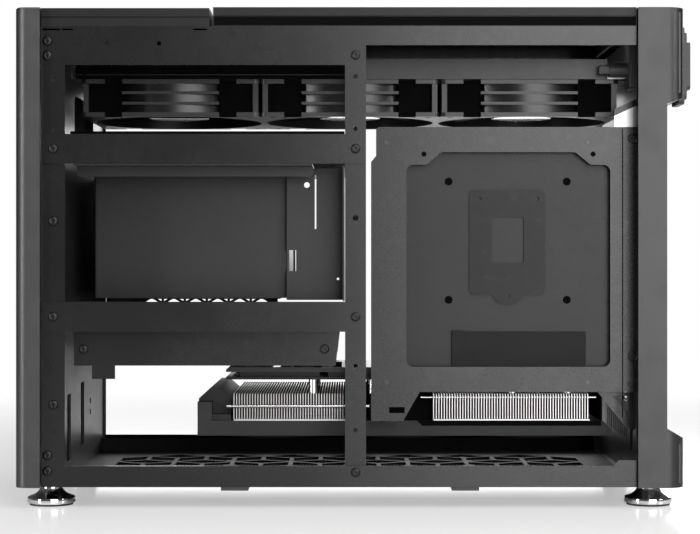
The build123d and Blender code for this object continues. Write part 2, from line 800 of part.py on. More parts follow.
# Power inlet in the rear panel: flange, bezel, socket and three blades
inlet_y, inlet_z = inlet_hole
flange_thick = 3.6
ear_thick = 1.7
inlet_mouth = rear_face + inlet_reach
with BuildPart() as power_inlet:
    with BuildSketch(Plane.YZ.offset(rear_face)):
        with Locations(inlet_hole):
            RectangleRounded(28, 50.7, 3)
    extrude(amount=flange_thick)
    with BuildSketch(Plane.YZ.offset(rear_face + flange_thick)):
        with Locations(inlet_hole):
            RectangleRounded(26, 44, 3)
    extrude(amount=ear_thick)
    with BuildSketch(Plane.YZ.offset(rear_face)):
        with Locations(inlet_hole):
            RectangleRounded(24, 31.2, 2.5)
    extrude(amount=inlet_reach)
    with BuildSketch(Plane.YZ.offset(rear_wall - 4)):
        with Locations(inlet_hole):
            RectangleRounded(20.4, 29.4, 2)
    extrude(amount=rear_face - rear_wall + 4)
    with BuildSketch(Plane.YZ.offset(inlet_mouth)):
        with Locations(inlet_hole):
            RectangleRounded(16.5, 24.6, 2)
    extrude(amount=-17, mode=Mode.SUBTRACT)
    for pin_y, pin_z in (
        (inlet_y - 2, inlet_z),
        (inlet_y + 2, inlet_z - 7),
        (inlet_y + 2, inlet_z + 7),
    ):
        box_between(
            (inlet_mouth - 17.5, pin_y - 2, pin_z - 1), (inlet_mouth - 5.5, pin_y + 2, pin_z + 1)
        )
keep(power_inlet, "power_inlet")

# Boot of the inlet's inner plug
with BuildPart() as inlet_boot:
    boot_end = rear_wall - 4
    with BuildSketch(Plane.YZ.offset(boot_end)):
        with Locations((inlet_y, inlet_z - 1.8)):
            Circle(4.8)
    extrude(amount=-(boot_end - lip_end))
    with BuildSketch(Plane.YZ.offset(lip_end)):
        with Locations((inlet_y, inlet_z - 1.8)):
            RectangleRounded(7, 6, 1)
    extrude(amount=-6.5)
keep(inlet_boot, "inlet_boot")

# Supply bay: top plate with sides turned up and one lip turned down inside the near bar
supply_front = frame_front + supply_start
supply_rear = supply_front + supply_length
vent_near = half - bar_sheet
supply_far = vent_near
supply_near = supply_far - supply_width
supply_low = lower_bar_top + 1.4
supply_high = supply_low + supply_height
lip_reach = 6.5
top_plate_front = post_inner + 5.4
top_plate_rear = centre_post_front - 21.1
with BuildPart() as supply_top_plate:
    with BuildSketch(Plane.XY.offset(upper_bar_bottom)):
        with Locations(((top_plate_front + top_plate_rear) / 2, 0)):
            Rectangle(top_plate_rear - top_plate_front, frame_width)
    extrude(amount=-bar_sheet)
    for side in (-1, 1):
        low_y, high_y = sorted((side * half, side * (half - bar_sheet)))
        box_between(
            (top_plate_front, low_y, upper_bar_bottom - bar_sheet),
            (top_plate_rear, high_y, upper_bar_bottom + upper_bar_width - 5),
        )
    with BuildSketch(side_plane(-half + 15)):
        with Locations(((top_plate_front + top_plate_rear) / 2, upper_bar_bottom - lip_reach / 2)):
            RectangleRounded(top_plate_rear - top_plate_front, lip_reach + 2 * bar_sheet, 2.5)
        with Locations(((top_plate_front + top_plate_rear) / 2, upper_bar_bottom + 5)):
            Rectangle(top_plate_rear - top_plate_front + 2, 10, mode=Mode.SUBTRACT)
    extrude(amount=-bar_sheet)
keep(supply_top_plate, "supply_top_plate")

# Supply mounting bracket: faces the near side beside the supply, folded behind its end
bracket_near = -half + 38.0
bracket_rear = centre_post_front - rear_gap
with BuildPart() as supply_bracket:
    with BuildSketch(side_plane(bracket_near)):
        low_z = lower_bar_top + 0.3
        high_z = upper_bar_bottom - bar_sheet - 0.1
        with Locations(((supply_rear + bracket_rear) / 2, (low_z + high_z) / 2)):
            Rectangle(bracket_rear - supply_rear, high_z - low_z)
        with Locations((bracket_rear - 19.5, (high_z + supply_high) / 2 - 22)):
            Rectangle(1.0, 36, mode=Mode.SUBTRACT)
        with Locations((supply_rear + 4.0, supply_low + 25.2)):
            Rectangle(4.6, 14.1, mode=Mode.SUBTRACT)
        with Locations((supply_rear + 13.5, high_z - 11)):
            Circle(1.9, mode=Mode.SUBTRACT)
        with Locations((bracket_rear - 4.5, supply_low + 13)):
            Circle(0.8, mode=Mode.SUBTRACT)
    extrude(amount=-bar_sheet)
    with BuildSketch(Plane.YZ.offset(supply_rear)):
        with Locations(((bracket_near + vent_near) / 2, (low_z + high_z) / 2)):
            Rectangle(vent_near - bracket_near, high_z - low_z)
        with Locations(((supply_near + supply_far) / 2 + 10, (low_z + high_z) / 2)):
            Rectangle(104, 62, mode=Mode.SUBTRACT)
        with Locations((supply_near - 4, supply_low + 25.2)):
            Rectangle(10, 14.1, mode=Mode.SUBTRACT)
    extrude(amount=bar_sheet)
    box_between(
        (bracket_rear - bar_sheet, -half + bar_sheet, low_z),
        (bracket_rear, bracket_near + bar_sheet, high_z),
    )
    with BuildSketch(side_plane(bracket_near)):
        with Locations((supply_rear + 13.4, high_z - 23.5)):
            Circle(1.4)
    extrude(amount=0.8)
keep(supply_bracket, "supply_bracket")

# Vent plate beside the supply on the far side, with the floor's pattern made small
with BuildPart() as supply_vent_plate:
    vent_low = lower_bar_bottom + bar_sheet + 0.5
    vent_high = upper_bar_bottom - bar_sheet
    vent_rear = supply_rear - 12
    with BuildSketch(side_plane(vent_near)):
        with Locations(((post_inner + vent_rear) / 2, (vent_low + vent_high) / 2)):
            Rectangle(vent_rear - post_inner - 2 * rear_gap, vent_high - vent_low)
        rhombus_holes(
            (supply_front + 16, lower_bar_bottom + far_bar_width - 3),
            (supply_front + 112, lower_bar_bottom + far_bar_width + 44),
            9.6,
            1.9,
        )
    extrude(amount=-bar_sheet)
keep(supply_vent_plate, "supply_vent_plate")

# Power supply: a folded steel housing with its fan recessed in the underside
supply_middle = ((supply_front + supply_rear) / 2, (supply_near + supply_far) / 2)
supply_fan_radius = 56.0
supply_fan_depth = 24.0
with BuildPart() as supply_housing:
    box_between(
        (supply_front, supply_near, supply_low), (supply_rear, supply_far, supply_high)
    )
    long_edges = supply_housing.edges().filter_by(Axis.Z)
    fillet(long_edges, radius=1.5)
    with BuildSketch(Plane.XY.offset(supply_low)):
        with Locations(supply_middle):
            Circle(supply_fan_radius + 1.5)
    extrude(amount=supply_fan_depth + 2, mode=Mode.SUBTRACT)
    with BuildSketch(Plane.XY.offset(supply_low + supply_fan_depth + 2)):
        with Locations(supply_middle):
            Circle(pin_radius)
    extrude(amount=-(supply_fan_depth - 5))
    with BuildSketch(Plane.YZ.offset(supply_front)):
        with Locations((supply_near + 26, supply_low + 22)):
            Rectangle(24, 20)
    extrude(amount=12, mode=Mode.SUBTRACT)
    with BuildSketch(Plane.YZ.offset(supply_rear)):
        with Locations((supply_middle[1] + 10, supply_low + 60)):
            with GridLocations(34, 0, 3, 1):
                Rectangle(26, 12)
    extrude(amount=-6, mode=Mode.SUBTRACT)
keep(supply_housing, "supply_housing")

supply_rotor_base = Plane(origin=(*supply_middle, supply_low + 1.5))
supply_fan_rotor = fan_rotor(
    supply_rotor_base,
    supply_fan_radius,
    motor_radius + 1,
    supply_fan_depth - 0.5,
    fan_blades,
    pin_radius,
    fan_pitch,
)
keep(supply_fan_rotor, "supply_fan_rotor")

# Guard over the supply's fan
with BuildPart() as supply_fan_guard:
    with BuildSketch(Plane.XY.offset(supply_low)):
        with Locations(supply_middle):
            RectangleRounded(119, 119, 6)
            with GridLocations(0, 10.2, 1, 11):
                Rectangle(108, 8.2, mode=Mode.SUBTRACT)
    extrude(amount=-1.0)
keep(supply_fan_guard, "supply_fan_guard")

# Drive tray below the supply bay: a plate with deep lips, hung under the lower crossbars
drive_front = post_inner + 4.7
drive_rear = centre_post_front - 4.6
drive_lip = 22.4
with BuildPart() as drive_tray:
    with BuildSketch(Plane.XY.offset(lower_bar_bottom)):
        with Locations(((drive_front + drive_rear) / 2, 0)):
            Rectangle(drive_rear - drive_front, 2 * (half - 8))
            with GridLocations(76.6, 61.7, 2, 2):
                Circle(1.7, mode=Mode.SUBTRACT)
            with Locations((0, 66), (0, -66)):
                RectangleRounded(110, 22, 5, mode=Mode.SUBTRACT)
    extrude(amount=-bar_sheet)
    for side in (-1, 1):
        face = side_plane(-(half - 8)) if side < 0 else side_plane(half - 8 - bar_sheet)
        with BuildSketch(face):
            with BuildLine():
                Polyline(
                    (drive_front, lower_bar_bottom),
                    (drive_rear + 1.0, lower_bar_bottom),
                    (drive_rear - 1.5, lower_bar_bottom - drive_lip),
                    (drive_front, lower_bar_bottom - drive_lip),
                    close=True,
                )
            make_face()
            with Locations(
                (drive_front + 6.9, lower_bar_bottom - 11), (drive_rear - 8.4, lower_bar_bottom - 11)
            ):
                Circle(hole_radius, mode=Mode.SUBTRACT)
        extrude(amount=-bar_sheet)
    box_between(
        (drive_front + 11.7, -half + 8, lower_bar_bottom - drive_lip - 8.7),
        (drive_front + 26.7, -half + 8 + bar_sheet, lower_bar_bottom - drive_lip + 1),
    )
keep(drive_tray, "drive_tray")

# Motherboard tray: a flat plate with an open leg at its front lower corner
seam_back = 9.2
leg_width = 21.0
leg_drop = 19.1
cut_front = tray_front + 23.2
cut_rear = tray_front + 157.0
cut_low = tray_low + 16.5
cut_shoulder = cut_low + 132.6
cut_high = cut_shoulder + 8.3
board_middle = (board_front + board_rear) / 2
cooler_x = board_middle + 1.5
cooler_z = board_low + 99.2
stud_radius = 1.5
stud_inset = 6.35
stud_spans = (board_size - 37.92, board_size - 12.52)
stand_spots = [
    (board_front + stud_inset + a * stud_spans[0], board_low + stud_inset + b * stud_spans[1])
    for a in (0, 1)
    for b in (0, 1)
]
with BuildPart() as motherboard_tray:
    with BuildSketch(side_plane(tray_face)):
        with BuildLine():
            Polyline(
                (tray_front, tray_low - leg_drop),
                (tray_front + leg_width, tray_low - leg_drop),
                (tray_front + leg_width + 11, tray_low),
                (rear_wall, tray_low),
                (rear_wall, tray_top),
                (tray_front + 5, tray_top),
                (tray_front + 3.3, tray_top - 1.7),
                (tray_front + 3.3, tray_top - 19),
                (tray_front, tray_top - 23),
                close=True,
            )
        make_face()
        with BuildLine(mode=Mode.PRIVATE) as cut_line:
            FilletPolyline(
                (cut_front, cut_low),
                (cut_rear, cut_low),
                (cut_rear, cut_shoulder),
                (cut_rear - 12.8, cut_shoulder),
                (cut_rear - 23, cut_high),
                (cut_front + 23, cut_high),
                (cut_front + 13.4, cut_shoulder),
                (cut_front, cut_shoulder),
                radius=4.5,
                close=True,
            )
        make_face(cut_line.edges(), mode=Mode.SUBTRACT)
        with Locations((tray_front + 17, tray_low - 11.9)):
            Rectangle(10.2, 4.0, mode=Mode.SUBTRACT)
        with Locations((rear_wall - 3, tray_top - 7.5), (rear_wall - 3, tray_low + 23.4)):
            Circle(hole_radius, mode=Mode.SUBTRACT)
        with Locations((rear_wall - 4.8, tray_low + 4.9)):
            Circle(1.7, mode=Mode.SUBTRACT)
        with Locations(*stand_spots):
            Circle(stud_radius, mode=Mode.SUBTRACT)
    extrude(amount=-tray_sheet)
    with BuildSketch(side_plane(tray_face)):
        with Locations((rear_wall - seam_back, (tray_low + tray_top) / 2)):
            Rectangle(0.6, tray_height - 12)
    extrude(amount=-0.4, mode=Mode.SUBTRACT)
keep(motherboard_tray, "motherboard_tray")

# Stand-offs between the tray and the board, each on a stud through both
with BuildPart() as stand_offs:
    with BuildSketch(side_plane(tray_face)):
        with Locations(*stand_spots):
            RegularPolygon(stud_radius, 6)
    extrude(amount=-(board_near + board_sheet - tray_face + 1.8))
    with BuildSketch(side_plane(tray_face + tray_sheet)):
        with Locations(*stand_spots):
            RegularPolygon(3, 6)
    extrude(amount=-board_lift)
    with BuildSketch(side_plane(board_near + board_sheet)):
        with Locations(*stand_spots):
            RegularPolygon(3, 6)
    extrude(amount=-1.8)
keep(stand_offs, "stand_offs")

# Board: square, with its four corner holes
board_far = board_near + board_sheet
with BuildPart() as motherboard:
    with BuildSketch(side_plane(board_near)):
        with Locations((board_middle, board_low + board_size / 2)):
            Rectangle(board_size, board_size)
        with Locations(*stand_spots):
            Circle(stud_radius, mode=Mode.SUBTRACT)
    extrude(amount=-board_sheet)
keep(motherboard, "motherboard")

# Back plate of the processor cooler, with its window, tab and bolts
plate_low = cooler_z - 35.9
with BuildPart() as cooler_back_plate:
    with BuildSketch(side_plane(board_near)):
        with Locations((cooler_x - 0.5, plate_low + 34.8)):
            RectangleRounded(50.2, 69.5, 4)
        with BuildLine():
            Polyline(
                (cooler_x - 10.8, plate_low),
                (cooler_x - 5.8, plate_low - 5.8),
                (cooler_x + 5.7, plate_low - 5.8),
                (cooler_x + 10, plate_low),
                (cooler_x, plate_low + 10),
                close=True,
            )
        make_face()
        with Locations((cooler_x - 0.2, cooler_z + 0.5)):
            RectangleRounded(21.2, 30.3, 1.5, mode=Mode.SUBTRACT)
        plate_bolts = [(cooler_x - 19, cooler_z + 27.5), (cooler_x + 19, cooler_z + 27.5)]
        plate_bolts.append((cooler_x, plate_low - 0.8))
        with Locations(*plate_bolts):
            Circle(1.4, mode=Mode.SUBTRACT)
    extrude(amount=1.8)
keep(cooler_back_plate, "cooler_back_plate")

# Solid state drive and its connector on the board's near side
drive_x = board_front + 49.5
drive_z = board_low + 17.2
with BuildPart() as solid_state_drive:
    box_between(
        (drive_x, board_near - 4.2, drive_z), (drive_x + 8.0, board_near, drive_z + 22.7)
    )
    box_between(
        (drive_x + 7, board_near - 3.4, drive_z), (drive_x + 88, board_near - 1.6, drive_z + 22.0)
    )
    box_between(
        (drive_x + 84, board_near - 1.6, drive_z + 7), (drive_x + 88, board_near, drive_z + 15)
    )
keep(solid_state_drive, "solid_state_drive")

# Port block at the board's rear edge, passing through the inner wall
with BuildPart() as port_block:
    port_rear = rear_wall + bar_sheet + 1.0
    box_between(
        (board_rear - 18, board_far, port_low + 12), (port_rear, board_far + 30, port_high - 24)
    )
    for port_number in range(4):
        port_z = port_low + 26 + port_number * 31
        box_between(
            (port_rear - 8, board_far + 4, port_z - 8),
            (port_rear, board_far + 18, port_z - 2),
            Mode.SUBTRACT,
        )
        box_between(
            (port_rear - 8, board_far + 4, port_z + 2),
            (port_rear, board_far + 18, port_z + 8),
            Mode.SUBTRACT,
        )
keep(port_block, "port_block")

# Memory modules standing in their slots
with BuildPart() as memory_slots:
    for slot in (0, 1):
        slot_x = board_front + 9 + slot * 9.5
        box_between(
            (slot_x - 3.2, board_far, board_low + 16), (slot_x + 3.2, board_far + 8, board_low + 157)
        )
        box_between(
            (slot_x - 0.7, board_far + 2, board_low + 20),
            (slot_x + 0.7, board_far + 8, board_low + 153),
            Mode.SUBTRACT,
        )
keep(memory_slots, "memory_slots")

with BuildPart() as memory_modules:
    for slot in (0, 1):
        slot_x = board_front + 9 + slot * 9.5
        box_between(
            (slot_x - 0.6, board_far + 2, board_low + 20.2),
            (slot_x + 0.6, board_far + 33, board_low + 152.8),
        )
        box_between(
            (slot_x - 3.0, board_far + 9, board_low + 20.2),
            (slot_x + 3.0, board_far + 35, board_low + 152.8),
        )
keep(memory_modules, "memory_modules")

# Processor cooler: base, heat pipes and a fin block, on four spring posts
cooler_width = 94.0
cooler_base = 38.0
fin_block_low = board_far + 30
fin_block_high = fin_block_low + 34
cooler_front = cooler_x - cooler_width / 2 - 2
with BuildPart() as processor_cooler:
    box_between(
        (cooler_x - cooler_base / 2, board_far + 3, cooler_z - cooler_base / 2),
        (cooler_x + cooler_base / 2, board_far + 14, cooler_z + cooler_base / 2),
    )
    box_between(
        (cooler_x - cooler_base / 2 + 6, board_far + 12, cooler_z - 12),
        (cooler_x + cooler_base / 2 - 6, fin_block_low + 1, cooler_z + 12),
    )
    box_between(
        (cooler_front, fin_block_low, cooler_z - cooler_width / 2),
        (cooler_front + cooler_width, fin_block_high, cooler_z + cooler_width / 2),
    )
    with BuildSketch(side_plane(fin_block_high)):
        with Locations((cooler_front + cooler_width / 2, cooler_z)):
            with GridLocations(6.5, 0, 14, 1):
                Rectangle(5.0, cooler_width)
    extrude(amount=28, mode=Mode.SUBTRACT)
    for a, b in ((-1, -1), (-1, 1), (1, -1), (1, 1)):
        low = (cooler_x + a * 39, cooler_z + b * 39)
        with BuildSketch(side_plane(board_far)):
            with Locations(low):
                RegularPolygon(2.8, 6)
        extrude(amount=-9)
    box_between(
        (cooler_x - 42, board_far + 5, cooler_z - 42), (cooler_x - 36, board_far + 8, cooler_z + 42)
    )
    box_between(
        (cooler_x + 36, board_far + 5, cooler_z - 42), (cooler_x + 42, board_far + 8, cooler_z + 42)
    )
    box_between(
        (cooler_x - 39, board_far + 5, cooler_z - 6), (cooler_x + 39, board_far + 8, cooler_z + 6)
    )
keep(processor_cooler, "processor_cooler")

# Graphics card: board, back plate, fins, pipes, shroud, fans and slot bracket
card_near = -half + card_depth
card_far = card_near + card_width
shroud_low = frame_bottom + 30.0
shroud_top = shroud_low + shroud_height
shroud_front = middle - 101.6
shroud_rear = shroud_front + shroud_length
fin_low = shroud_top
fin_top = fin_low + fin_height
card_board_low = fin_top + post_rise
card_board_top = card_board_low + 1.6
back_low = card_board_top + 3.4
back_top = back_low + 1.6
bracket_plate = 1.2
bracket_face = rear_wall - bracket_plate
left_fins = (shroud_front + 24.1, shroud_front + 131.0)
right_fins = (shroud_front + 157.1, shroud_front + 261.2)
with BuildPart() as graphics_fins:
    for start, end in (left_fins, right_fins):
        box_between((start, card_near, fin_low), (end, card_far, fin_top))
        gaps = int((end - start - 1) / fin_pitch)
        with BuildSketch(side_plane(card_near)):
            with Locations(((start + end) / 2, (fin_low + fin_top) / 2)):
                with GridLocations(fin_pitch, 0, gaps, 1):
                    Rectangle(fin_gap, fin_height - 1.6)
        extrude(amount=-card_width, mode=Mode.SUBTRACT)
        for post_x in (start + 53, end - 14):
            with BuildSketch(Plane.XY.offset(fin_top)):
                with Locations((post_x, card_near + 6), (post_x, card_far - 12)):
                    Circle(3.2)
            extrude(amount=card_board_low - fin_top)
    box_between(
        (left_fins[1] - 1, card_near + 30, fin_low + 4), (right_fins[0] + 1, card_far - 30, fin_low + 9)
    )
keep(graphics_fins, "graphics_fins")

with BuildPart() as graphics_pipes:
    pipe_width = 2.2
    for start, end, height in (
        (left_fins[0] - 4.5, left_fins[1] + 4, fin_low + 9.7),
        (right_fins[0] - 8.4, right_fins[1] + 4.6, fin_low + 15.4),
    ):
        box_between(
            (start, card_near - pipe_width, height - 1.1), (end, card_near, height + 1.1)
        )
keep(graphics_pipes, "graphics_pipes")

with BuildPart() as graphics_board:
    board_start = shroud_front + 19.0
    box_between(
        (board_start, card_near, card_board_low), (bracket_face, card_far, card_board_top)
    )
    box_between(
        (board_start + 9, card_near + 3, card_board_top), (board_start + 62, card_near + 12, back_low)
    )
    box_between(
        (board_start + 68, card_near + 3, card_board_top),
        (board_start + 150, card_near + 8, back_low),
    )
    box_between(
        (board_start + 40, card_far - 20, card_board_top), (bracket_face - 40, card_far - 8, back_low)
    )
keep(graphics_board, "graphics_board")

with BuildPart() as graphics_back_plate:
    box_between((board_start, card_near, back_low), (bracket_face, card_far, back_top))
    box_between(
        (board_start + 2, card_near, back_top), (bracket_face, card_near + bar_sheet, back_top + 1.6)
    )
    with BuildSketch(Plane.XY.offset(back_top)):
        with Locations((board_start + 60, (card_near + card_far) / 2)):
            with GridLocations(14, 0, 5, 1):
                Rectangle(6, 70)
    extrude(amount=-(back_top - back_low), mode=Mode.SUBTRACT)
keep(graphics_back_plate, "graphics_back_plate")

card_fan_pitch = 2 * card_fan_radius + 6
card_fans = [
    ((shroud_front + shroud_rear) / 2 + step * card_fan_pitch, (card_near + card_far) / 2)
    for step in (-1, 0, 1)
]
card_rotor_low = shroud_low + 0.8
spider_height = 2.0
with BuildPart() as graphics_shroud:
    box_between((shroud_front, card_near, shroud_low), (shroud_rear, card_far, shroud_top))
    front_edges = graphics_shroud.edges().filter_by(Axis.Y).group_by(Axis.X)[-1]
    chamfer(front_edges.sort_by(Axis.Z)[-1:], length=6.0)
    with BuildSketch(Plane.XY.offset(shroud_low)):
        with Locations(*card_fans):
            Circle(card_fan_radius + 1.2)
    extrude(amount=shroud_height - spider_height, mode=Mode.SUBTRACT)
    with BuildSketch(Plane.XY.offset(shroud_top)):
        with Locations(*card_fans):
            Circle(card_fan_radius + 1.2)
            Circle(15, mode=Mode.SUBTRACT)
            Rectangle(2 * card_fan_radius + 4, 5, mode=Mode.SUBTRACT)
            Rectangle(5, 2 * card_fan_radius + 4, mode=Mode.SUBTRACT)
    extrude(amount=-spider_height, mode=Mode.SUBTRACT)
    with BuildSketch(Plane.XY.offset(shroud_top - spider_height)):
        with Locations(*card_fans):
            Circle(3)
    extrude(amount=-4.0)
    pillar = 9.6
    box_between(
        (shroud_front, card_near, shroud_top), (shroud_front + pillar, card_near + 12, shroud_top + 12.4)
    )
    with BuildSketch(side_plane(card_near + 12)):
        with BuildLine():
            Polyline(
                (shroud_front, shroud_top),
                (shroud_front + 22, shroud_top),
                (shroud_front + 22, shroud_top + 14),
                (shroud_front + 14, shroud_top + 21),
                (shroud_front + 8, shroud_top + 21),
                (shroud_front, shroud_top + 14),
                close=True,
            )
        make_face()
    extrude(amount=-(card_width - 12))
    box_between(
        (shroud_front + pillar, card_near + 4, shroud_top),
        (shroud_front + 22, card_near + 12, shroud_top + 3.8),
    )
keep(graphics_shroud, "graphics_shroud")

for card_fan_number, card_fan in enumerate(card_fans, 1):
    card_rotor = fan_rotor(
        Plane(origin=(*card_fan, card_rotor_low)), card_fan_radius, 15, 6.6, 9, 3.0, card_fan_tilt
    )
    keep(card_rotor, f"graphics_fan_{card_fan_number}")

with BuildPart() as slot_bracket:
    bracket_low = slot_low - 4
    bracket_high = slot_high + 6
    with BuildSketch(Plane.YZ.offset(bracket_face)):
        with Locations(((slot_near + slot_far) / 2, (bracket_low + bracket_high) / 2)):
            Rectangle(slot_far - slot_near + 10, bracket_high - bracket_low)
        with Locations(((slot_near + slot_far) / 2, slot_low + 12)):
            with GridLocations(9, 0, 11, 1):
                Rectangle(5, 18, mode=Mode.SUBTRACT)
        with Locations(((slot_near + slot_far) / 2, slot_low + 31)):
            with GridLocations(24, 0, 4, 1):
                Rectangle(17, 7, mode=Mode.SUBTRACT)
    extrude(amount=bracket_plate)
keep(slot_bracket, "slot_bracket")

# Support strut: a slanted gusset from the rear wall towards the card
with BuildPart() as support_strut:
    strut_y = card_near - 7
    with BuildSketch(side_plane(strut_y)):
        with BuildLine():
            Polyline(
                (rear_wall - 24.1, tray_low - 1),
                (rear_wall, tray_low - 1),
                (rear_wall, tray_low - 26),
                (rear_wall - 5.6, tray_low - 24.2),
                close=True,
            )
        make_face()
        with BuildLine(mode=Mode.PRIVATE) as strut_hole:
            Polyline(
                (rear_wall - 14.5, tray_low - 3.5),
                (rear_wall - 4, tray_low - 3.5),
                (rear_wall - 4, tray_low - 15.5),
                close=True,
            )
        make_face(strut_hole.edges(), mode=Mode.SUBTRACT)
    extrude(amount=-bar_sheet)
keep(support_strut, "support_strut")

# Screws: plain heads where the bars and the frame are fixed, near side and far side alike
bar_spots = [
    (x, z)
    for x in (post_centre_line, centre_post_middle)
    for z in (post_screws[0][1], post_screws[2][1])
]
frame_spots = corner_screws + [post_screws[1], post_screws[3], centre_screws[0], centre_screws[3]]
with BuildPart() as frame_screws:
    for spots, seat in ((bar_spots, half + bar_sheet), (frame_spots, half)):
        for side in (-1, 1):
            with BuildSketch(side_plane(side * seat)):
                with Locations(*spots):
                    RegularPolygon(head_radius, 8)
            extrude(amount=-side * head_height)
keep(frame_screws, "frame_screws")
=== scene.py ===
import json
from math import cos, pi, radians, sin

import bmesh
import bpy
from mathutils import Matrix, Vector

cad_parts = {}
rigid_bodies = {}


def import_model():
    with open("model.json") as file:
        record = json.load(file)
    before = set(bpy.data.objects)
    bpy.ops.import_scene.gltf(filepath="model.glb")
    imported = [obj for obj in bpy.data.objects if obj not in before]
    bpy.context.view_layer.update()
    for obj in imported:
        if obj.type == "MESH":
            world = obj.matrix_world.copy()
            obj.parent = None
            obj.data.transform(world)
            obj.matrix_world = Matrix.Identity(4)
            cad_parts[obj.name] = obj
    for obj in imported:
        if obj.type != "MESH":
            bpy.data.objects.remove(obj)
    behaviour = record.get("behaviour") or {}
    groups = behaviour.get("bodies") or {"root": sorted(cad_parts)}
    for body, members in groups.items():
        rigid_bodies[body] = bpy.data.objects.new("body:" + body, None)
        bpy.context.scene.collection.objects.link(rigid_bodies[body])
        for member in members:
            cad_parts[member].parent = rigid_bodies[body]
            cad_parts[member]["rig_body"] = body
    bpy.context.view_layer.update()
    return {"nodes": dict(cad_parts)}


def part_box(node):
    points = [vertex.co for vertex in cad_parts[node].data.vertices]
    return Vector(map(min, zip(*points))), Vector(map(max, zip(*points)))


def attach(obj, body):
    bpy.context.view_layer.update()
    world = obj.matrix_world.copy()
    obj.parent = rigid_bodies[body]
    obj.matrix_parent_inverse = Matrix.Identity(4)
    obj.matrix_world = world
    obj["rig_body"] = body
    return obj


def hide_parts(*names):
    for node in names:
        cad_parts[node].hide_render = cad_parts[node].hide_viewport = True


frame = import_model()
nodes = frame["nodes"]

# Sizes of the dressed pieces, in metres

# Screws of the frame, and their places on the two trays
screw_rim = 0.0031
screw_height = 0.0017
screw_socket = 0.0012
tray_screw_inset = 0.003
tray_screw_drops = (0.0075, 0.1505)
drive_screw_front = 0.0062
drive_screw_rear = 0.0098
drive_screw_rise = 0.0195

# Fin stacks of the graphics card, their posts, and the near-black sheets of painted shade about
# them
fin_sheet = 0.00042
fin_skin = 0.00005
fin_edge = 0.0002
card_fin_pitch = 0.00177
stack_height = 0.018
left_stack_length = 0.0875
right_stack_length = 0.1041
fold_width = 0.0016
fold_height = 0.0008
divider_front = 0.002
divider_rear = 0.0004
divider_rise = 0.006
divider_inset = 0.004
backing_half = 0.0004
shroud_wall = 0.006
side_sheet = 0.001
side_gap = 0.0005
side_inset = 0.002
post_radius = 0.0032
post_reach = 0.001

# Heat pipes of the card
pipe_radius = 0.0011
pipe_overrun = 0.003
pipe_lead = 0.0084
pipe_step_back = 0.004

# Rings under the card's shroud, and the painted shadow in the recess along the right stack
ring_bore = 0.0424
ring_lip = 0.0436
ring_rim = 0.0448
ring_depth = 0.003
recess_lead = 0.011
recess_end = 0.007
recess_low = 0.0066
recess_bevel = 0.0035
recess_near = 0.0001
recess_far = 0.001

# Case fans: barrel in a darker copy of the fan plastic as painted shade, sheets of painted shade
# in the frame's notches, cap on the hub
barrel_bore = 0.0581
barrel_rim = 0.06
barrel_low = 0.0029
barrel_high = 0.0221
notch_shade_width = 0.0264
notch_shade_offset = 0.0457
notch_shade_trim = 0.0001
notch_shade_near = 0.0056
notch_shade_far = 0.0059
cap_radius = 0.0205
cap_bevel = 0.001
cap_rise = 0.0003
cap_seat = 0.0001

# Painted shade: near-black sheets under the vent cover, on the fan bracket's lip and on the
# upper crossbar
vent_shade_inset = 0.0006
vent_shade_low = 0.0004
vent_shade_height = 0.006
vent_shade_inner = 0.0005
vent_shade_outer = 0.0001
lip_shade_lead = 0.0169
lip_shade_stop = 0.0004
lip_shade_rows = ((0.0102, 0), (0.0133, 0.0108))
lip_shade_near = 0.0008
lip_shade_far = 0.0002
strip_root = 0.001
strip_rise = 0.0028
strip_near = 0.0001
strip_far = 0.001

# Gusset above the board tray
gusset_length = 0.0147
gusset_root = 0.002
gusset_rise = 0.0118
gusset_slope_front = 0.0045
gusset_slope_rear = 0.0025
gusset_tip = 0.0068
gusset_sheet = 0.0008
gusset_lip_near = 0.0004
gusset_lip_far = 0.004

# Painted shade along the far side of the floor plate
floor_shade_inset = 0.002
floor_shade_height = 0.0138
floor_shade_near = 0.0012
floor_shade_far = 0.0002

# Nuts of the processor cooler
cooler_span = 0.078
cooler_shift = 0.0004
cooler_drop = 0.0336
nut_rim = 0.0026
nut_height = 0.0009
nut_socket = 0.0014

# Painted shade in the board tray's blind holes, and its dark seam
mark_front = 0.0347
mark_rear = 0.0288
mark_drop = 0.0178
mark_rim = 0.0017
mark_height = 0.0002
mark_socket = 0.0011
seam_front = 0.0098
seam_rear = 0.0092
seam_foot = 0.002
seam_top = 0.001
seam_near = 0.0001
seam_far = 0.0003

# Mesh of the dust filter
filter_wire = 0.0004
filter_pitch = 0.0026
filter_rim = 0.006
filter_floor = 0.0024


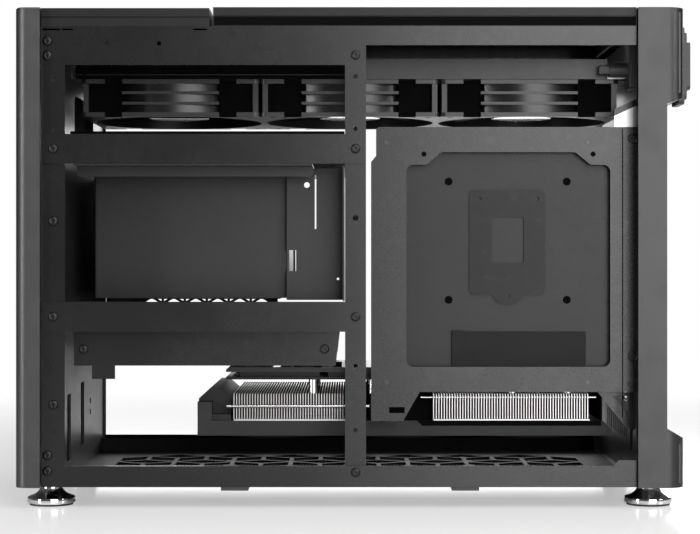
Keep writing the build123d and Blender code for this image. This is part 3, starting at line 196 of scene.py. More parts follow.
class Shade:
    """One socket of a node tree, so that shader maths reads as arithmetic."""

    def __init__(self, tree, socket=None):
        self.tree = tree
        self.socket = socket

    def node(self, kind, inputs=(), output=0, **settings):
        """A node of this type: its settings first, then the values or links of its sockets."""
        made = self.tree.nodes.new(kind)
        for name, value in settings.items():
            setattr(made, name, value)
        for key, value in dict(inputs).items():
            if isinstance(value, Shade):
                self.tree.links.new(value.socket, made.inputs[key])
            else:
                made.inputs[key].default_value = value
        return Shade(self.tree, made.outputs[output] if made.outputs else None)

    def maths(self, operation, *terms):
        return self.node("ShaderNodeMath", enumerate(terms), operation=operation)

    def __add__(self, other):
        return self.maths("ADD", self, other)

    def __radd__(self, other):
        return self.maths("ADD", other, self)

    def __sub__(self, other):
        return self.maths("SUBTRACT", self, other)

    def __rsub__(self, other):
        return self.maths("SUBTRACT", other, self)

    def __mul__(self, other):
        return self.maths("MULTIPLY", self, other)

    def __rmul__(self, other):
        return self.maths("MULTIPLY", other, self)

    def __truediv__(self, other):
        return self.maths("DIVIDE", self, other)

    def above(self, limit, width):
        """0 below the limit, 1 above it, with a soft step of this width between."""
        step = (self - (limit - width / 2)) / width
        return step.node("ShaderNodeClamp", {0: step})

    def blend(self, low, high):
        """A colour between two, by this factor."""
        inputs = {0: self, 6: low, 7: high}
        return self.node("ShaderNodeMix", inputs, 2, data_type="RGBA")


def grey(level, warmth=0.0):
    """A nearly neutral colour of this level."""
    return (level * (1 + warmth), level, level * (1 - warmth), 1)


def blank(name):
    """A new material, its tools and the place on the piece that patterns are read from."""
    made = bpy.data.materials.new(name)
    made.use_nodes = True
    made.node_tree.nodes.clear()
    shade = Shade(made.node_tree)
    return made, shade, shade.node("ShaderNodeTexCoord", output="Object")


def noise(place, scale, detail=2.0, stretch=None):
    """Noise at so many cells to the metre, pulled out along an axis where it is brushed."""
    if stretch:
        place = place.node("ShaderNodeMapping", {0: place, 3: stretch})
    return place.node("ShaderNodeTexNoise", {0: place, 2: scale, 3: detail})


def bump(height, strength, distance):
    """A relief in the surface's normal."""
    return height.node("ShaderNodeBump", {0: strength, 1: distance, "Height": height})


def close(shade, **sockets):
    """The shader and the output that end a material."""
    words = {key.replace("_", " ").title(): value for key, value in sockets.items()}
    words = {key.replace("Ior", "IOR"): value for key, value in words.items()}
    skin = shade.node("ShaderNodeBsdfPrincipled", words)
    shade.node("ShaderNodeOutputMaterial", {0: skin})


def powder_coat(name, level, roughness, gloss=0.5):
    """Fine satin powder coat on steel: grain you feel, a cloudy sheen and rubbed patches."""
    made, shade, place = blank(name)
    grain = noise(place, 1600, 2)
    cloud = noise(place, 18, 3)
    rub = noise(place, 130, 4).above(0.62, 0.2)
    colour = (grain * 0.5 + cloud * 0.5).blend(grey(level * 0.75), grey(level * 1.3))
    colour = (rub * 0.35).blend(colour, grey(level * 1.9))
    rough = roughness + (grain - 0.5) * 0.14 + (cloud - 0.5) * 0.1 - rub * 0.04
    normal = bump(grain, 0.2, 0.00003)
    close(
        shade,
        base_color=colour,
        roughness=rough,
        metallic=0.15,
        specular_ior_level=gloss,
        normal=normal,
    )
    return made


def anodised(name, level, roughness):
    """Bead-blasted anodised aluminium: very fine sparkle, faint handling marks."""
    made, shade, place = blank(name)
    bead = noise(place, 2600, 1)
    cloud = noise(place, 9, 2)
    mark = noise(place, 60, 5).above(0.6, 0.25)
    colour = (bead * 0.6 + cloud * 0.4).blend(grey(level * 0.86), grey(level * 1.14))
    rough = roughness + (bead - 0.5) * 0.12 + mark * 0.05
    normal = bump(bead, 0.2, 0.00002)
    close(shade, base_color=colour, roughness=rough, metallic=0.9, normal=normal)
    return made


def moulded(name, level, roughness, warmth=0.0):
    """Glass-filled black plastic: fine spark-eroded texture and slight flow marks."""
    made, shade, place = blank(name)
    spark = noise(place, 1300, 3)
    flow = noise(place, 40, 2, (1, 0.35, 1))
    colour = (spark * 0.4 + flow * 0.6).blend(
        grey(level * 0.8, warmth), grey(level * 1.25, warmth)
    )
    rough = roughness + (spark - 0.5) * 0.16 + (flow - 0.5) * 0.08
    normal = bump(spark, 0.3, 0.00003)
    close(shade, base_color=colour, roughness=rough, normal=normal)
    return made


def plated(name, level, roughness, smear=0.05):
    """Polished plating, with a faint haze of handling."""
    made, shade, place = blank(name)
    haze = noise(place, 80, 4)
    fine = noise(place, 900, 2)
    colour = haze.blend(grey(level * 0.93), grey(level * 1.04, 0.005))
    rough = roughness + haze * smear + (fine - 0.5) * 0.02
    normal = bump(fine, 0.05, 0.00001)
    close(shade, base_color=colour, roughness=rough, metallic=1.0, normal=normal)
    return made


def brushed(name, level, roughness, stretch):
    """Bare metal with drawn lines along one axis."""
    made, shade, place = blank(name)
    lines = noise(place, 1200, 3, stretch)
    cloud = noise(place, 35, 2)
    colour = (lines * 0.7 + cloud * 0.3).blend(grey(level * 0.8), grey(level * 1.15))
    rough = roughness + (lines - 0.5) * 0.2
    normal = bump(lines, 0.2, 0.00002)
    close(shade, base_color=colour, roughness=rough, metallic=1.0, normal=normal)
    return made


def laminate(name, level, roughness, gloss, coat):
    """Lacquered circuit board: weave under the lacquer, traces a shade apart, a clear coat."""
    made, shade, place = blank(name)
    weave = place.node("ShaderNodeTexVoronoi", {0: place, 2: 700}, distance="MANHATTAN")
    lanes = noise(place, 260, 0, (0.15, 1, 1)).above(0.55, 0.05)
    cloud = noise(place, 30, 2)
    colour = (lanes * 0.3 + cloud * 0.4).blend(grey(level * 0.8), grey(level * 1.3))
    rough = roughness + weave * 0.08 + (cloud - 0.5) * 0.08
    normal = bump(lanes * 0.2 + weave * 0.1, 0.1, 0.00002)
    close(
        shade,
        base_color=colour,
        roughness=rough,
        specular_ior_level=gloss,
        coat_weight=coat + cloud * coat,
        normal=normal,
    )
    return made


def rubber(name, level, gloss=0.5):
    """Black rubber with a dusty bloom."""
    made, shade, place = blank(name)
    bloom = noise(place, 120, 4)
    pore = noise(place, 1800, 2)
    colour = bloom.blend(grey(level * 0.7), grey(level * 1.6))
    close(
        shade,
        base_color=colour,
        roughness=0.7 + bloom * 0.15,
        specular_ior_level=gloss,
        normal=bump(pore, 0.4, 0.00004),
    )
    return made


def webbing(name, level):
    """Woven tape: warp and weft as two crossed waves."""
    made, shade, place = blank(name)
    warp = place.node("ShaderNodeTexWave", {0: place, 1: 420, 2: 1.0}, bands_direction="Y")
    weft = place.node("ShaderNodeTexWave", {0: place, 1: 420, 2: 1.0}, bands_direction="Z")
    fuzz = noise(place, 900, 3)
    thread = warp * weft
    colour = (thread * 0.7 + fuzz * 0.3).blend(grey(level * 0.4), grey(level * 1.6))
    close(
        shade,
        base_color=colour,
        roughness=0.85 - fuzz * 0.1,
        normal=bump(thread + fuzz * 0.3, 0.6, 0.0002),
    )
    return made


steel = powder_coat("frame_powder_coat", 0.007, 0.26)
tray_steel = powder_coat("tray_powder_coat", 0.007, 0.27)
inner_steel = powder_coat("inner_powder_coat", 0.01, 0.38)
floor_steel = powder_coat("floor_powder_coat", 0.006, 0.62, 0.15)
panel = anodised("panel_anodised", 0.075, 0.42)
rear_skin = anodised("rear_anodised", 0.045, 0.4)
cover = anodised("cover_anodised", 0.022, 0.45)
black_plastic = moulded("black_plastic", 0.015, 0.5)
fan_plastic = moulded("fan_plastic", 0.01, 0.36)
# A darker copy of the fan plastic: painted shade on the fan barrels
barrel_plastic_painted_shade = moulded("barrel_plastic_painted_shade", 0.004, 0.3)
shroud_plastic = moulded("shroud_plastic", 0.002, 0.65)
# Near-black with almost no gloss: painted shade on the sheets that stand for shadow, and the
# real black of the cooler nuts and the tray's seam
painted_shade_and_black_parts = rubber("painted_shade_and_black_parts", 0.002, 0.02)
filter_plastic = moulded("filter_plastic", 0.03, 0.55)
chrome = plated("foot_chrome", 0.9, 0.04)
cap_metal = plated("hub_cap_foil", 0.85, 0.12, 0.06)
pipe_nickel = plated("pipe_nickel", 0.62, 0.2, 0.1)
screw_steel = plated("screw_black_oxide", 0.03, 0.28, 0.12)
fin_metal = brushed("fin_aluminium", 0.7, 0.38, (1, 1, 0.05))
# Painted shade on the sides of the card's fins
fin_shadow = powder_coat("fin_sides_painted_shade", 0.003, 0.7, 0.05)
port_metal = brushed("port_steel", 0.5, 0.35, (1, 0.05, 1))
plate_metal = powder_coat("back_plate_coat", 0.003, 0.32, 0.25)
slot_metal = powder_coat("slot_bracket_coat", 0.008, 0.45, 0.2)
stud_steel = brushed("standoff_steel", 0.06, 0.35, (1, 0.1, 1))
board_skin = laminate("board_laminate", 0.005, 0.3, 0.25, 0.04)
drive_skin = laminate("drive_laminate", 0.004, 0.4, 0.1, 0.03)
pad_rubber = rubber("pad_rubber", 0.02)
tab_webbing = webbing("tab_webbing", 0.03)

finishes = {
    panel: ("front_panel", "power_button"),
    rear_skin: ("rear_panel",),
    cover: ("top_front_cover", "top_vent_cover"),
    steel: (
        "near_side_frame", "far_side_frame", "near_centre_post", "far_centre_post",
        "near_upper_crossbar", "near_lower_crossbar", "far_upper_crossbar", "far_lower_crossbar",
        "drive_tray", "support_strut",
    ),
    tray_steel: ("motherboard_tray",),
    floor_steel: ("floor_plate",),
    inner_steel: (
        "front_inner_wall", "rear_inner_wall", "fan_bracket", "supply_top_plate",
        "supply_bracket", "supply_vent_plate", "supply_housing", "supply_fan_guard",
        "graphics_back_plate",
    ),
    filter_plastic: ("dust_filter",),
    chrome: ("feet",),
    pad_rubber: ("foot_pads",),
    black_plastic: ("port_insert", "power_inlet", "inlet_boot", "memory_slots"),
    tab_webbing: ("pull_tab",),
    fan_plastic: (
        "fan_frame_1", "fan_frame_2", "fan_frame_3", "fan_rotor_1", "fan_rotor_2", "fan_rotor_3",
        "supply_fan_rotor",
    ),
    stud_steel: ("stand_offs",),
    board_skin: ("motherboard", "graphics_board"),
    plate_metal: ("cooler_back_plate",),
    drive_skin: ("solid_state_drive",),
    port_metal: ("port_block",),
    slot_metal: ("slot_bracket",),
    fin_metal: ("memory_modules", "processor_cooler", "graphics_fins"),
    pipe_nickel: ("graphics_pipes",),
    shroud_plastic: ("graphics_shroud", "graphics_fan_1", "graphics_fan_2", "graphics_fan_3"),
    screw_steel: ("frame_screws",),
}
for finish, names in finishes.items():
    for name in names:
        nodes[name].material_slots[0].link = "OBJECT"
        nodes[name].material_slots[0].material = finish


class Growth:
    """A Geometry Nodes tree with named sizes, drawn up node by node."""

    def __init__(self, name, **sizes):
        self.group = bpy.data.node_groups.new(name, "GeometryNodeTree")
        add = self.group.interface.new_socket
        add("Geometry", in_out="INPUT", socket_type="NodeSocketGeometry")
        self.keys = {
            size: add(size, in_out="INPUT", socket_type="NodeSocket" + kind).identifier
            for size, kind in sizes.items()
        }
        add("Geometry", in_out="OUTPUT", socket_type="NodeSocketGeometry")
        self.entry = self.group.nodes.new("NodeGroupInput")
        self.desk = Shade(self.group)

    def size(self, name):
        return Shade(self.group, self.entry.outputs[name])

    def finish(self, grown):
        """The end of the tree: real geometry in its finish."""
        real = grown.node("GeometryNodeRealizeInstances", {0: grown})
        done = real.node("GeometryNodeSetMaterial", {0: real, "Material": self.size("Finish")})
        done.node("NodeGroupOutput", {0: done})

    def grow(self, base=None, **values):
        """A plain mesh of what the tree makes from these sizes."""
        carrier = bpy.data.objects.new("carrier", base or bpy.data.meshes.new("carrier"))
        bpy.context.collection.objects.link(carrier)
        step = carrier.modifiers.new("growth", "NODES")
        step.node_group = self.group
        for size, value in values.items():
            step[self.keys[size]] = value
        ready = carrier.evaluated_get(bpy.context.evaluated_depsgraph_get())
        mesh = bpy.data.meshes.new_from_object(ready)
        bpy.data.objects.remove(carrier)
        return mesh


# A row of bars: fins, and the wires of the filter
bar_row = Growth(
    "bar_row", Count="Int", Start="Vector", Step="Vector", Bar="Vector", Finish="Material"
)
line = bar_row.desk.node(
    "GeometryNodeMeshLine",
    {
        "Count": bar_row.size("Count"),
        "Start Location": bar_row.size("Start"),
        "Offset": bar_row.size("Step"),
    },
    mode="OFFSET",
)
bar = bar_row.desk.node("GeometryNodeMeshCube", {"Size": bar_row.size("Bar")})
bar_row.finish(bar.node("GeometryNodeInstanceOnPoints", {"Points": line, "Instance": bar}))

# One shape set at many places, turned to face the way each place faces
fixing_set = Growth("fixing_set", Shape="Object", Finish="Material")
shape = fixing_set.desk.node(
    "GeometryNodeObjectInfo", {0: fixing_set.size("Shape")}, output="Geometry"
)
facing = shape.node("GeometryNodeInputNamedAttribute", {0: "facing"}, data_type="FLOAT_VECTOR")
turn = facing.node("FunctionNodeAlignRotationToVector", {"Vector": facing}, axis="Z")
fixing_set.finish(
    shape.node(
        "GeometryNodeInstanceOnPoints",
        {"Points": fixing_set.size("Geometry"), "Instance": shape, "Rotation": turn},
    )
)


def settle(name, mesh, node, finish=None, smooth=30, hides=()):
    """A finished piece: it rides with this node, takes the finish if one is given and hides what
    it stands for.
    """
    piece = bpy.data.objects.new(name, mesh)
    bpy.context.collection.objects.link(piece)
    if finish:
        mesh.materials.append(finish)
    mesh.shade_smooth()
    mesh.set_sharp_from_angle(angle=radians(smooth))
    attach(piece, nodes[node]["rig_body"])
    if hides:
        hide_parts(*hides)
    return piece


def islands(node, above=None):
    """Middle, lowest and highest corner of each separate solid of a node, or of each tip of it
    that reaches above a height."""
    work = bmesh.new()
    work.from_mesh(nodes[node].data)
    bmesh.ops.remove_doubles(work, verts=work.verts, dist=1e-6)
    left = {v for v in work.verts if above is None or v.co.z > above}
    found = []
    while left:
        group, edge = [], [left.pop()]
        while edge:
            vertex = edge.pop()
            group.append(vertex.co.copy())
            for link in vertex.link_edges:
                other = link.other_vert(vertex)
                if other in left:
                    left.discard(other)
                    edge.append(other)
        low = Vector([min(c[i] for c in group) for i in range(3)])
        high = Vector([max(c[i] for c in group) for i in range(3)])
        found.append(((low + high) / 2, low, high))
    work.free()
    return found


def merged(*meshes):
    """Several meshes as one, with their materials kept."""
    finishes = []
    work = bmesh.new()
    for mesh in meshes:
        start = len(work.faces)
        work.from_mesh(mesh)
        work.faces.ensure_lookup_table()
        moved = [finishes.index(m) if m in finishes else None for m in mesh.materials]
        for index, finish in enumerate(mesh.materials):
            if moved[index] is None:
                finishes.append(finish)
                moved[index] = len(finishes) - 1
        for face in work.faces[start:]:
            face.material_index = moved[face.material_index]
    whole = bpy.data.meshes.new("merged")
    work.to_mesh(whole)
    work.free()
    for finish in finishes:
        whole.materials.append(finish)
    return whole


def turned(profile, centres, finish, segments=64, closed=False):
    """A shape turned about Z from (radius, height) steps, at each of these places."""
    work = bmesh.new()
    for centre in centres:
        rings = []
        for radius, height in profile:
            spots = segments if radius else 1
            turns = [2 * pi * spot / segments for spot in range(spots)]
            rings.append(
                [
                    work.verts.new(centre + Vector((radius * cos(a), radius * sin(a), height)))
                    for a in turns
                ]
            )
        pairs = list(zip(rings, rings[1:] + rings[:1] if closed else rings[1:]))
        for lower, upper in pairs:
            for spot in range(segments):
                after = (spot + 1) % segments
                corners = [
                    lower[spot % len(lower)], lower[after % len(lower)],
                    upper[after % len(upper)], upper[spot % len(upper)],
                ]
                work.faces.new(list(dict.fromkeys(corners)))
    bmesh.ops.recalc_face_normals(work, faces=work.faces)
    mesh = bpy.data.meshes.new("turned")
    work.to_mesh(mesh)
    work.free()
    mesh.materials.append(finish)
    return mesh


def plate(outline, near_y, far_y, finish):
    """A flat piece with this outline in X and Z, between two depths."""
    count = len(outline)
    corners = [(x, y, z) for y in (near_y, far_y) for x, z in outline]
    faces = [tuple(range(count)), tuple(range(count, 2 * count))]
    for spot in range(count):
        after = (spot + 1) % count
        faces.append((spot, after, after + count, spot + count))
    mesh = bpy.data.meshes.new("plate")
    mesh.from_pydata(corners, [], faces)
    work = bmesh.new()
    work.from_mesh(mesh)
    bmesh.ops.recalc_face_normals(work, faces=work.faces)
    work.to_mesh(mesh)
    work.free()
    mesh.materials.append(finish)
    return mesh


def sheet(left, right, low, high, near_y, far_y, finish):
    """A plate with straight edges."""
    outline = [(left, low), (right, low), (right, high), (left, high)]
    return plate(outline, near_y, far_y, finish)


def rod(radius, length):
    """The profile of a plain round rod."""
    return [(0, 0), (radius, 0), (radius, length), (0, length)]


def screw_shape(rim, height, socket):
    """A button-head screw: a domed head with a six-sided socket, standing on its underside."""
    segments = 24
    hexagon = [
        socket * cos(pi / 6) / cos((2 * pi * spot / segments) % (pi / 3) - pi / 6)
        for spot in range(segments)
    ]
    rings = [
        ([rim] * segments, 0),
        ([rim] * segments, height * 0.25),
        ([rim * 0.93] * segments, height * 0.6),
        ([rim * 0.78] * segments, height * 0.88),
        ([rim * 0.6] * segments, height),
        ([rim * 0.45] * segments, height),
        (hexagon, height * 0.92),
        (hexagon, height * 0.25),
    ]
    work = bmesh.new()
    made = []
    for radii, level in rings:
        made.append(
            [
                work.verts.new(
                    (r * cos(2 * pi * spot / segments), r * sin(2 * pi * spot / segments), level)
                )
                for spot, r in enumerate(radii)
            ]
        )
    for lower, upper in zip(made, made[1:]):
        for spot in range(segments):
            after = (spot + 1) % segments
            work.faces.new((lower[spot], lower[after], upper[after], upper[spot]))
    work.faces.new(made[0][::-1])
    work.faces.new(made[-1])
    bmesh.ops.recalc_face_normals(work, faces=work.faces)
    mesh = bpy.data.meshes.new("screw_shape")
    work.to_mesh(mesh)
    work.free()
    return bpy.data.objects.new("screw_shape", mesh)


def fixings(spots, shape, finish):
    """The shape set on each spot, which is a place and the way it faces."""
    points = bpy.data.meshes.new("fixing_points")
    points.from_pydata([place for place, facing in spots], [], [])
    way = points.attributes.new("facing", "FLOAT_VECTOR", "POINT")
    for index, (place, facing) in enumerate(spots):
        way.data[index].vector = facing
    return fixing_set.grow(points, Shape=shape, Finish=finish)


# Screws of the frame, near and far
near, far = Vector((0, -1, 0)), Vector((0, 1, 0))
screw = screw_shape(screw_rim, screw_height, screw_socket)
seats = []
for middle, low, high in islands("frame_screws"):
    if middle.y < 0:
        seats.append((Vector((middle.x, high.y, middle.z)), near))
    else:
        seats.append((Vector((middle.x, low.y, middle.z)), far))
settle(
    "button_screws", fixings(seats, screw, screw_steel), "frame_screws", hides=["frame_screws"]
)

# Screws of the board tray
tray_low, tray_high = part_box("motherboard_tray")
tray_seats = [
    (Vector((tray_high.x - tray_screw_inset, tray_low.y, tray_high.z - drop)), near)
    for drop in tray_screw_drops
]
settle("tray_screws", fixings(tray_seats, screw, screw_steel), "motherboard_tray")

# Screws at both ends of the drive tray's near lip
low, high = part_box("drive_tray")
drive_seats = [
    (Vector((x, low.y, low.z + drive_screw_rise)), near)
    for x in (low.x + drive_screw_front, high.x - drive_screw_rear)
]
settle("drive_tray_screws", fixings(drive_seats, screw, screw_steel), "drive_tray")

# Fin stacks of the graphics card: bright edges, sides in painted shade, and a folded edge below
low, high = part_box("graphics_fins")
shroud_low, shroud_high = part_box("graphics_shroud")
stack_top = low.z + stack_height
left_end = low.x + left_stack_length
right_start = high.x - right_stack_length
parts = []
for start, end in ((low.x, left_end), (right_start, high.x)):
    count = int((end - start - fin_sheet) / card_fin_pitch) + 1
    first = Vector((start + fin_sheet / 2, (low.y + high.y) / 2, (low.z + stack_top) / 2))
    fin = Vector((fin_sheet, high.y - low.y, stack_top - low.z))
    flank = fin + Vector((2 * fin_skin, -2 * fin_edge, -2 * fin_edge))
    for bar, finish in ((fin, fin_metal), (flank, fin_shadow)):
        parts.append(
            bar_row.grow(
                Count=count,
                Start=first,
                Step=Vector((card_fin_pitch, 0, 0)),
                Bar=bar,
                Finish=finish,
            )
        )
    parts.append(
        bar_row.grow(
            Count=2,
            Start=Vector(((start + end) / 2, low.y + fold_width / 2, low.z + fold_height / 2)),
            Step=Vector((0, high.y - low.y - fold_width, 0)),
            Bar=Vector((end - start, fold_width, fold_height)),
            Finish=fin_metal,
        )
    )

# Painted shade: near-black sheets between the two stacks, behind them and at their rear end
shroud_inside = shroud_high.x - shroud_wall
parts += [
    sheet(
        left_end + divider_front,
        right_start - divider_rear,
        low.z,
        stack_top + divider_rise,
        low.y + divider_inset,
        high.y - divider_inset,
        painted_shade_and_black_parts,
    ),
    sheet(
        low.x,
        shroud_inside,
        low.z,
        stack_top,
        high.y - backing_half,
        high.y + backing_half,
        painted_shade_and_black_parts,
    ),
    sheet(
        shroud_inside - side_gap - side_sheet,
        shroud_inside - side_gap,
        low.z,
        stack_top,
        low.y + side_inset,
        high.y - side_inset,
        painted_shade_and_black_parts,
    ),
]

# Posts that hold the card's board over its fins
posts = islands("graphics_fins", above=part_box("graphics_board")[0].z - post_reach)
post_feet = [Vector((middle.x, middle.y, stack_top)) for middle, *corners in posts]
parts.append(turned(rod(post_radius, high.z - stack_top), post_feet, pipe_nickel, 32))
settle("card_fins", merged(*parts), "graphics_fins", hides=["graphics_fins"])

# Heat pipes: one across the face of the left stack, one through the right stack
low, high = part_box("graphics_pipes")
pipes = []
for start, end, depth, height in (
    (low.x, left_end + pipe_overrun, low.y + pipe_radius, low.z + pipe_radius),
    (right_start - pipe_lead, high.x, high.y + pipe_step_back, high.z - pipe_radius),
):
    pipe = turned(rod(pipe_radius, end - start), [Vector((0, 0, 0))], pipe_nickel, 24)
    pipe.transform(Matrix.Translation((start, depth, height)) @ Matrix.Rotation(pi / 2, 4, "Y"))
    pipes.append(pipe)
settle("heat_pipes", merged(*pipes), "graphics_pipes", hides=["graphics_pipes"])

# Rings of the card's fans under its shroud, and a painted shadow in the recess along the right
# stack
ring_places = []
for number in (1, 2, 3):
    low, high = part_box(f"graphics_fan_{number}")
    ring_places.append(Vector(((low.x + high.x) / 2, (low.y + high.y) / 2, shroud_low.z)))
ring = turned(
    [(ring_bore, 0), (ring_bore, -ring_depth), (ring_lip, -ring_depth), (ring_rim, 0)],
    ring_places,
    shroud_plastic,
    128,
    closed=True,
)
recess_front = right_start - recess_lead
recess_rear = shroud_high.x - recess_end
recess_floor = shroud_low.z + recess_low
recess = plate(
    [
        (recess_front, recess_floor + recess_bevel),
        (recess_front + recess_bevel, recess_floor),
        (recess_rear, recess_floor),
        (recess_rear, recess_floor + recess_bevel),
    ],
    shroud_low.y - recess_near,
    shroud_low.y + recess_far,
    painted_shade_and_black_parts,
)
settle("card_rings", merged(ring, recess), "graphics_shroud")

# Feet: polished bells, turned smooth, from their (radius, height) steps
foot_steps = [
    (0, 0.0012), (0.0143, 0.0012), (0.0153, 0.0014), (0.0156, 0.0019), (0.0156, 0.0046),
    (0.0154, 0.0051), (0.0147, 0.0055), (0.0129, 0.0061), (0.0111, 0.0069), (0.0097, 0.0078),
    (0.0086, 0.0088), (0.0079, 0.0099), (0.0076, 0.0112), (0.0075, 0.014), (0, 0.014),
]
foot_places = [Vector((middle.x, middle.y, 0)) for middle, *corners in islands("feet")]
bells = turned(foot_steps, foot_places, chrome, 96)
settle("turned_feet", bells, "feet", smooth=40, hides=["feet"])

# The three case fans: a smooth barrel in a darker copy of the fan plastic as painted shade,
# sheets of painted shade in the frame's notches and a cap on the hub
barrel_profile = [
    (barrel_bore, barrel_low),
    (barrel_rim, barrel_low),
    (barrel_rim, barrel_high),
    (barrel_bore, barrel_high),
]
cap_profile = [
    (0, -cap_rise),
    (cap_radius - cap_bevel, -cap_rise),
    (cap_radius, cap_seat),
    (0, cap_seat),
]
for number in (1, 2, 3):
    low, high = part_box(f"fan_frame_{number}")
    middle = (low + high) / 2
    barrel_place = Vector((middle.x, middle.y, low.z))
    barrel = turned(barrel_profile, [barrel_place], barrel_plastic_painted_shade, 128, closed=True)
    notch_shades = [
        sheet(
            x - notch_shade_width / 2,
            x + notch_shade_width / 2,
            low.z + notch_shade_trim,
            high.z - notch_shade_trim,
            low.y + notch_shade_near,
            low.y + notch_shade_far,
            painted_shade_and_black_parts,
        )
        for x in (middle.x - notch_shade_offset, middle.x + notch_shade_offset)
    ]
    settle(f"fan_barrel_{number}", merged(barrel, *notch_shades), f"fan_frame_{number}")
    low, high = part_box(f"fan_rotor_{number}")
    cap_place = Vector(((low.x + high.x) / 2, (low.y + high.y) / 2, low.z))
    cap = turned(cap_profile, [cap_place], cap_metal, 64)
    settle(f"hub_cap_{number}", cap, f"fan_rotor_{number}")

# Painted shadow: near-black sheets in the gap under the top vent cover, near and far
low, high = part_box("top_vent_cover")
vent_shade_sheets = [
    sheet(
        low.x + vent_shade_inset,
        high.x - vent_shade_inset,
        low.z + vent_shade_low,
        low.z + vent_shade_height,
        hand * (high.y - vent_shade_inner),
        hand * (high.y + vent_shade_outer),
        painted_shade_and_black_parts,
    )
    for hand in (-1, 1)
]
settle("vent_seals", merged(*vent_shade_sheets), "top_vent_cover")

# Painted shade in two rows along the fan bracket's near lip, from the front post to the centre
# post
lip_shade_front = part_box("near_side_frame")[0].x + lip_shade_lead
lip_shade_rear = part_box("near_centre_post")[0].x - lip_shade_stop
low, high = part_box("fan_bracket")
lip_shade_sheets = [
    sheet(
        lip_shade_front,
        lip_shade_rear,
        high.z - bottom,
        high.z - top,
        low.y - lip_shade_near,
        low.y + lip_shade_far,
        painted_shade_and_black_parts,
    )
    for bottom, top in lip_shade_rows
]
settle("bracket_foam", merged(*lip_shade_sheets), "fan_bracket")

# Painted shade along the top of the near upper crossbar
low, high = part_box("near_upper_crossbar")
strip = sheet(
    lip_shade_front,
    lip_shade_rear,
    high.z - strip_root,
    high.z + strip_rise,
    high.y + strip_near,
    high.y + strip_far,
    painted_shade_and_black_parts,
)
settle("crossbar_foam", strip, "near_upper_crossbar")

# Gusset above the board tray's rear corner: a sheet with a sloping lip
gusset_front = tray_high.x - gusset_length
gusset_rear = tray_high.x
gusset_top = tray_high.z + gusset_rise
lip_front = gusset_top - gusset_slope_front
lip_rear = gusset_top + gusset_slope_rear
gusset_web = plate(
    [
        (gusset_front, tray_high.z - gusset_root),
        (gusset_rear, tray_high.z - gusset_root),
        (gusset_rear, lip_rear),
        (gusset_front, lip_front),
    ],
    tray_high.y,
    tray_high.y + gusset_sheet,
    port_metal,
)
gusset_lip = plate(
    [
        (gusset_front, lip_front),
        (gusset_rear, lip_rear),
        (gusset_rear, gusset_top + gusset_tip),
        (gusset_front, gusset_top),
    ],
    tray_high.y - gusset_lip_near,
    tray_high.y + gusset_lip_far,
    tray_steel,
)
settle("tray_gusset", merged(gusset_web, gusset_lip), "rear_inner_wall")

# Painted shade: a near-black sheet along the far side of the floor plate
low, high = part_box("floor_plate")
floor_shade_sheet = sheet(
    low.x + floor_shade_inset,
    high.x - floor_shade_inset,
    low.z + floor_shade_inset,
    low.z + floor_shade_height,
    high.y - floor_shade_near,
    high.y - floor_shade_far,
    painted_shade_and_black_parts,
)
settle("floor_hem", floor_shade_sheet, "floor_plate")

# Nuts of the processor cooler on the board's near side, in a square about its back plate
low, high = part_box("cooler_back_plate")
board_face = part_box("motherboard")[0].y
cooler_x = (low.x + high.x) / 2 + cooler_shift
cooler_middle = Vector((cooler_x, 0, high.z - cooler_drop))
nut = screw_shape(nut_rim, nut_height, nut_socket)
nut_seats = [
    (cooler_middle + Vector((across * cooler_span, board_face, up * cooler_span)), near)
    for across in (-0.5, 0.5)
    for up in (-0.5, 0.5)
]
settle("cooler_nuts", fixings(nut_seats, nut, painted_shade_and_black_parts), "motherboard")

# Painted shade in two blind holes in the tray's upper corners, and the tray's dark seam with the
# rear wall's flange
mark_places = [
    (Vector((x, tray_low.y, tray_high.z - mark_drop)), near)
    for x in (tray_low.x + mark_front, tray_high.x - mark_rear)
]
mark = screw_shape(mark_rim, mark_height, mark_socket)
seam = sheet(
    tray_high.x - seam_front,
    tray_high.x - seam_rear,
    tray_low.z + seam_foot,
    tray_high.z - seam_top,
    tray_low.y - seam_near,
    tray_low.y + seam_far,
    painted_shade_and_black_parts,
)
tray_marks = merged(fixings(mark_places, mark, painted_shade_and_black_parts), seam)
settle("tray_marks", tray_marks, "motherboard_tray")

# Mesh of the dust filter, as two crossed rows of wires
low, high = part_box("dust_filter")
half_width = high.y - filter_rim
start_x, end_x = low.x + filter_rim, high.x - filter_rim
level = (low.z + filter_floor + high.z) / 2
wires = [
    bar_row.grow(
        Count=int((end_x - start_x) / filter_pitch),
        Start=Vector((start_x, 0, level)),
        Step=Vector((filter_pitch, 0, 0)),
        Bar=Vector((filter_wire, 2 * half_width, filter_wire)),
        Finish=filter_plastic,
    ),
    bar_row.grow(
        Count=int(2 * half_width / filter_pitch),
        Start=Vector(((start_x + end_x) / 2, -half_width, level)),
        Step=Vector((0, filter_pitch, 0)),
        Bar=Vector((end_x - start_x, filter_wire, filter_wire)),
        Finish=filter_plastic,
    ),
]
settle("filter_mesh", merged(*wires), "dust_filter")

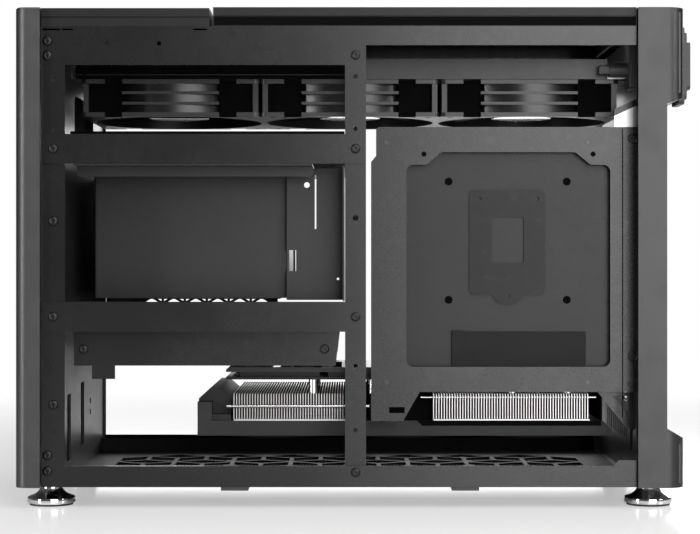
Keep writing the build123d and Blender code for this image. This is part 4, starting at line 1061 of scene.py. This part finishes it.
# Floor that fades into the white backdrop away from the case
floor_size = 12
floor_shift = 2.0
bpy.ops.mesh.primitive_plane_add(size=floor_size, location=(0, floor_shift, 0))
floor = bpy.context.object
floor.name = "studio_floor"
floor_finish, shade, place = blank("floor_gloss")
seen = shade.node("ShaderNodeLightPath", output="Is Camera Ray")
reach = place.node(
    "ShaderNodeVectorMath", {0: place, 1: (0, -floor_shift, 0)}, 1, operation="DISTANCE"
)
haze = noise(place, 3, 2)
gloss = shade.node(
    "ShaderNodeBsdfPrincipled",
    {"Base Color": haze.blend(grey(0.86), grey(0.9)), "Roughness": 0.12 + haze * 0.04},
)
glow = shade.node("ShaderNodeEmission", {0: grey(1.0), 1: 1.0})
fade = (0.45 + reach.above(0.62, 0.7) * 0.55) * seen
mixed = shade.node("ShaderNodeMixShader", {0: fade, 1: gloss, 2: glow})
shade.node("ShaderNodeOutputMaterial", {0: mixed})
floor.data.materials.append(floor_finish)

# White surroundings for the camera, a plain pale room for the light
room_strength = 0.07
world = bpy.data.worlds.new("studio")
bpy.context.scene.world = world
world.use_nodes = True
world.node_tree.nodes.clear()
air = Shade(world.node_tree)
seen = air.node("ShaderNodeLightPath", output="Is Camera Ray")
room = air.node("ShaderNodeBackground", {0: grey(1.0), 1: room_strength})
white = air.node("ShaderNodeBackground", {0: grey(1.0), 1: 1.0})
sky = air.node("ShaderNodeMixShader", {0: seen, 1: room, 2: white})
air.node("ShaderNodeOutputWorld", {0: sky})


def softbox(name, place, aim, width, height, power):
    """A rectangular studio lamp of so many watts, at a place and turned to its aim."""
    lamp = bpy.data.lights.new(name, "AREA")
    lamp.shape = "RECTANGLE"
    lamp.size = width
    lamp.size_y = height
    lamp.energy = power
    holder = bpy.data.objects.new(name, lamp)
    holder.location = place
    holder.rotation_euler = (Vector(aim) - Vector(place)).to_track_quat("-Z", "Y").to_euler()
    bpy.context.collection.objects.link(holder)


softbox("key", (0.75, -2.1, 0.65), (0.64, 0, 0.6), 1.35, 1.4, 31)
softbox("overhead", (0, 0.1, 1.5), (0, 0, 0.2), 1.6, 1.0, 13)
softbox("front_top", (0.45, -1.3, 1.3), (0.3, -0.1, 0), 1.3, 0.6, 17)
softbox("left_strip", (-1.1, -0.8, 0.4), (-0.2, 0, 0.2), 0.2, 1.2, 11)
softbox("right_strip", (1.1, -0.6, 0.75), (0.2, 0, 0.3), 0.2, 0.8, 8)
softbox("back", (0.3, 1.6, 0.6), (0, 0, 0.15), 1.6, 0.9, 16)

# Camera at the photograph's place: level, a little below the middle of the case
camera_place = (-0.0039, -1.28, 0.161)
photo_width = 700
focal_pixels = 1824
horizon_rise = 7
sensor = 36
camera_data = bpy.data.cameras.new("camera")
camera_data.sensor_width = sensor
camera_data.lens = sensor * focal_pixels / photo_width
camera_data.shift_y = -horizon_rise / photo_width
camera = bpy.data.objects.new("camera", camera_data)
camera.location = camera_place
camera.rotation_euler = (pi / 2, 0, 0)
bpy.context.collection.objects.link(camera)
bpy.context.scene.camera = camera
bpy.context.scene.view_settings.view_transform = "Standard"
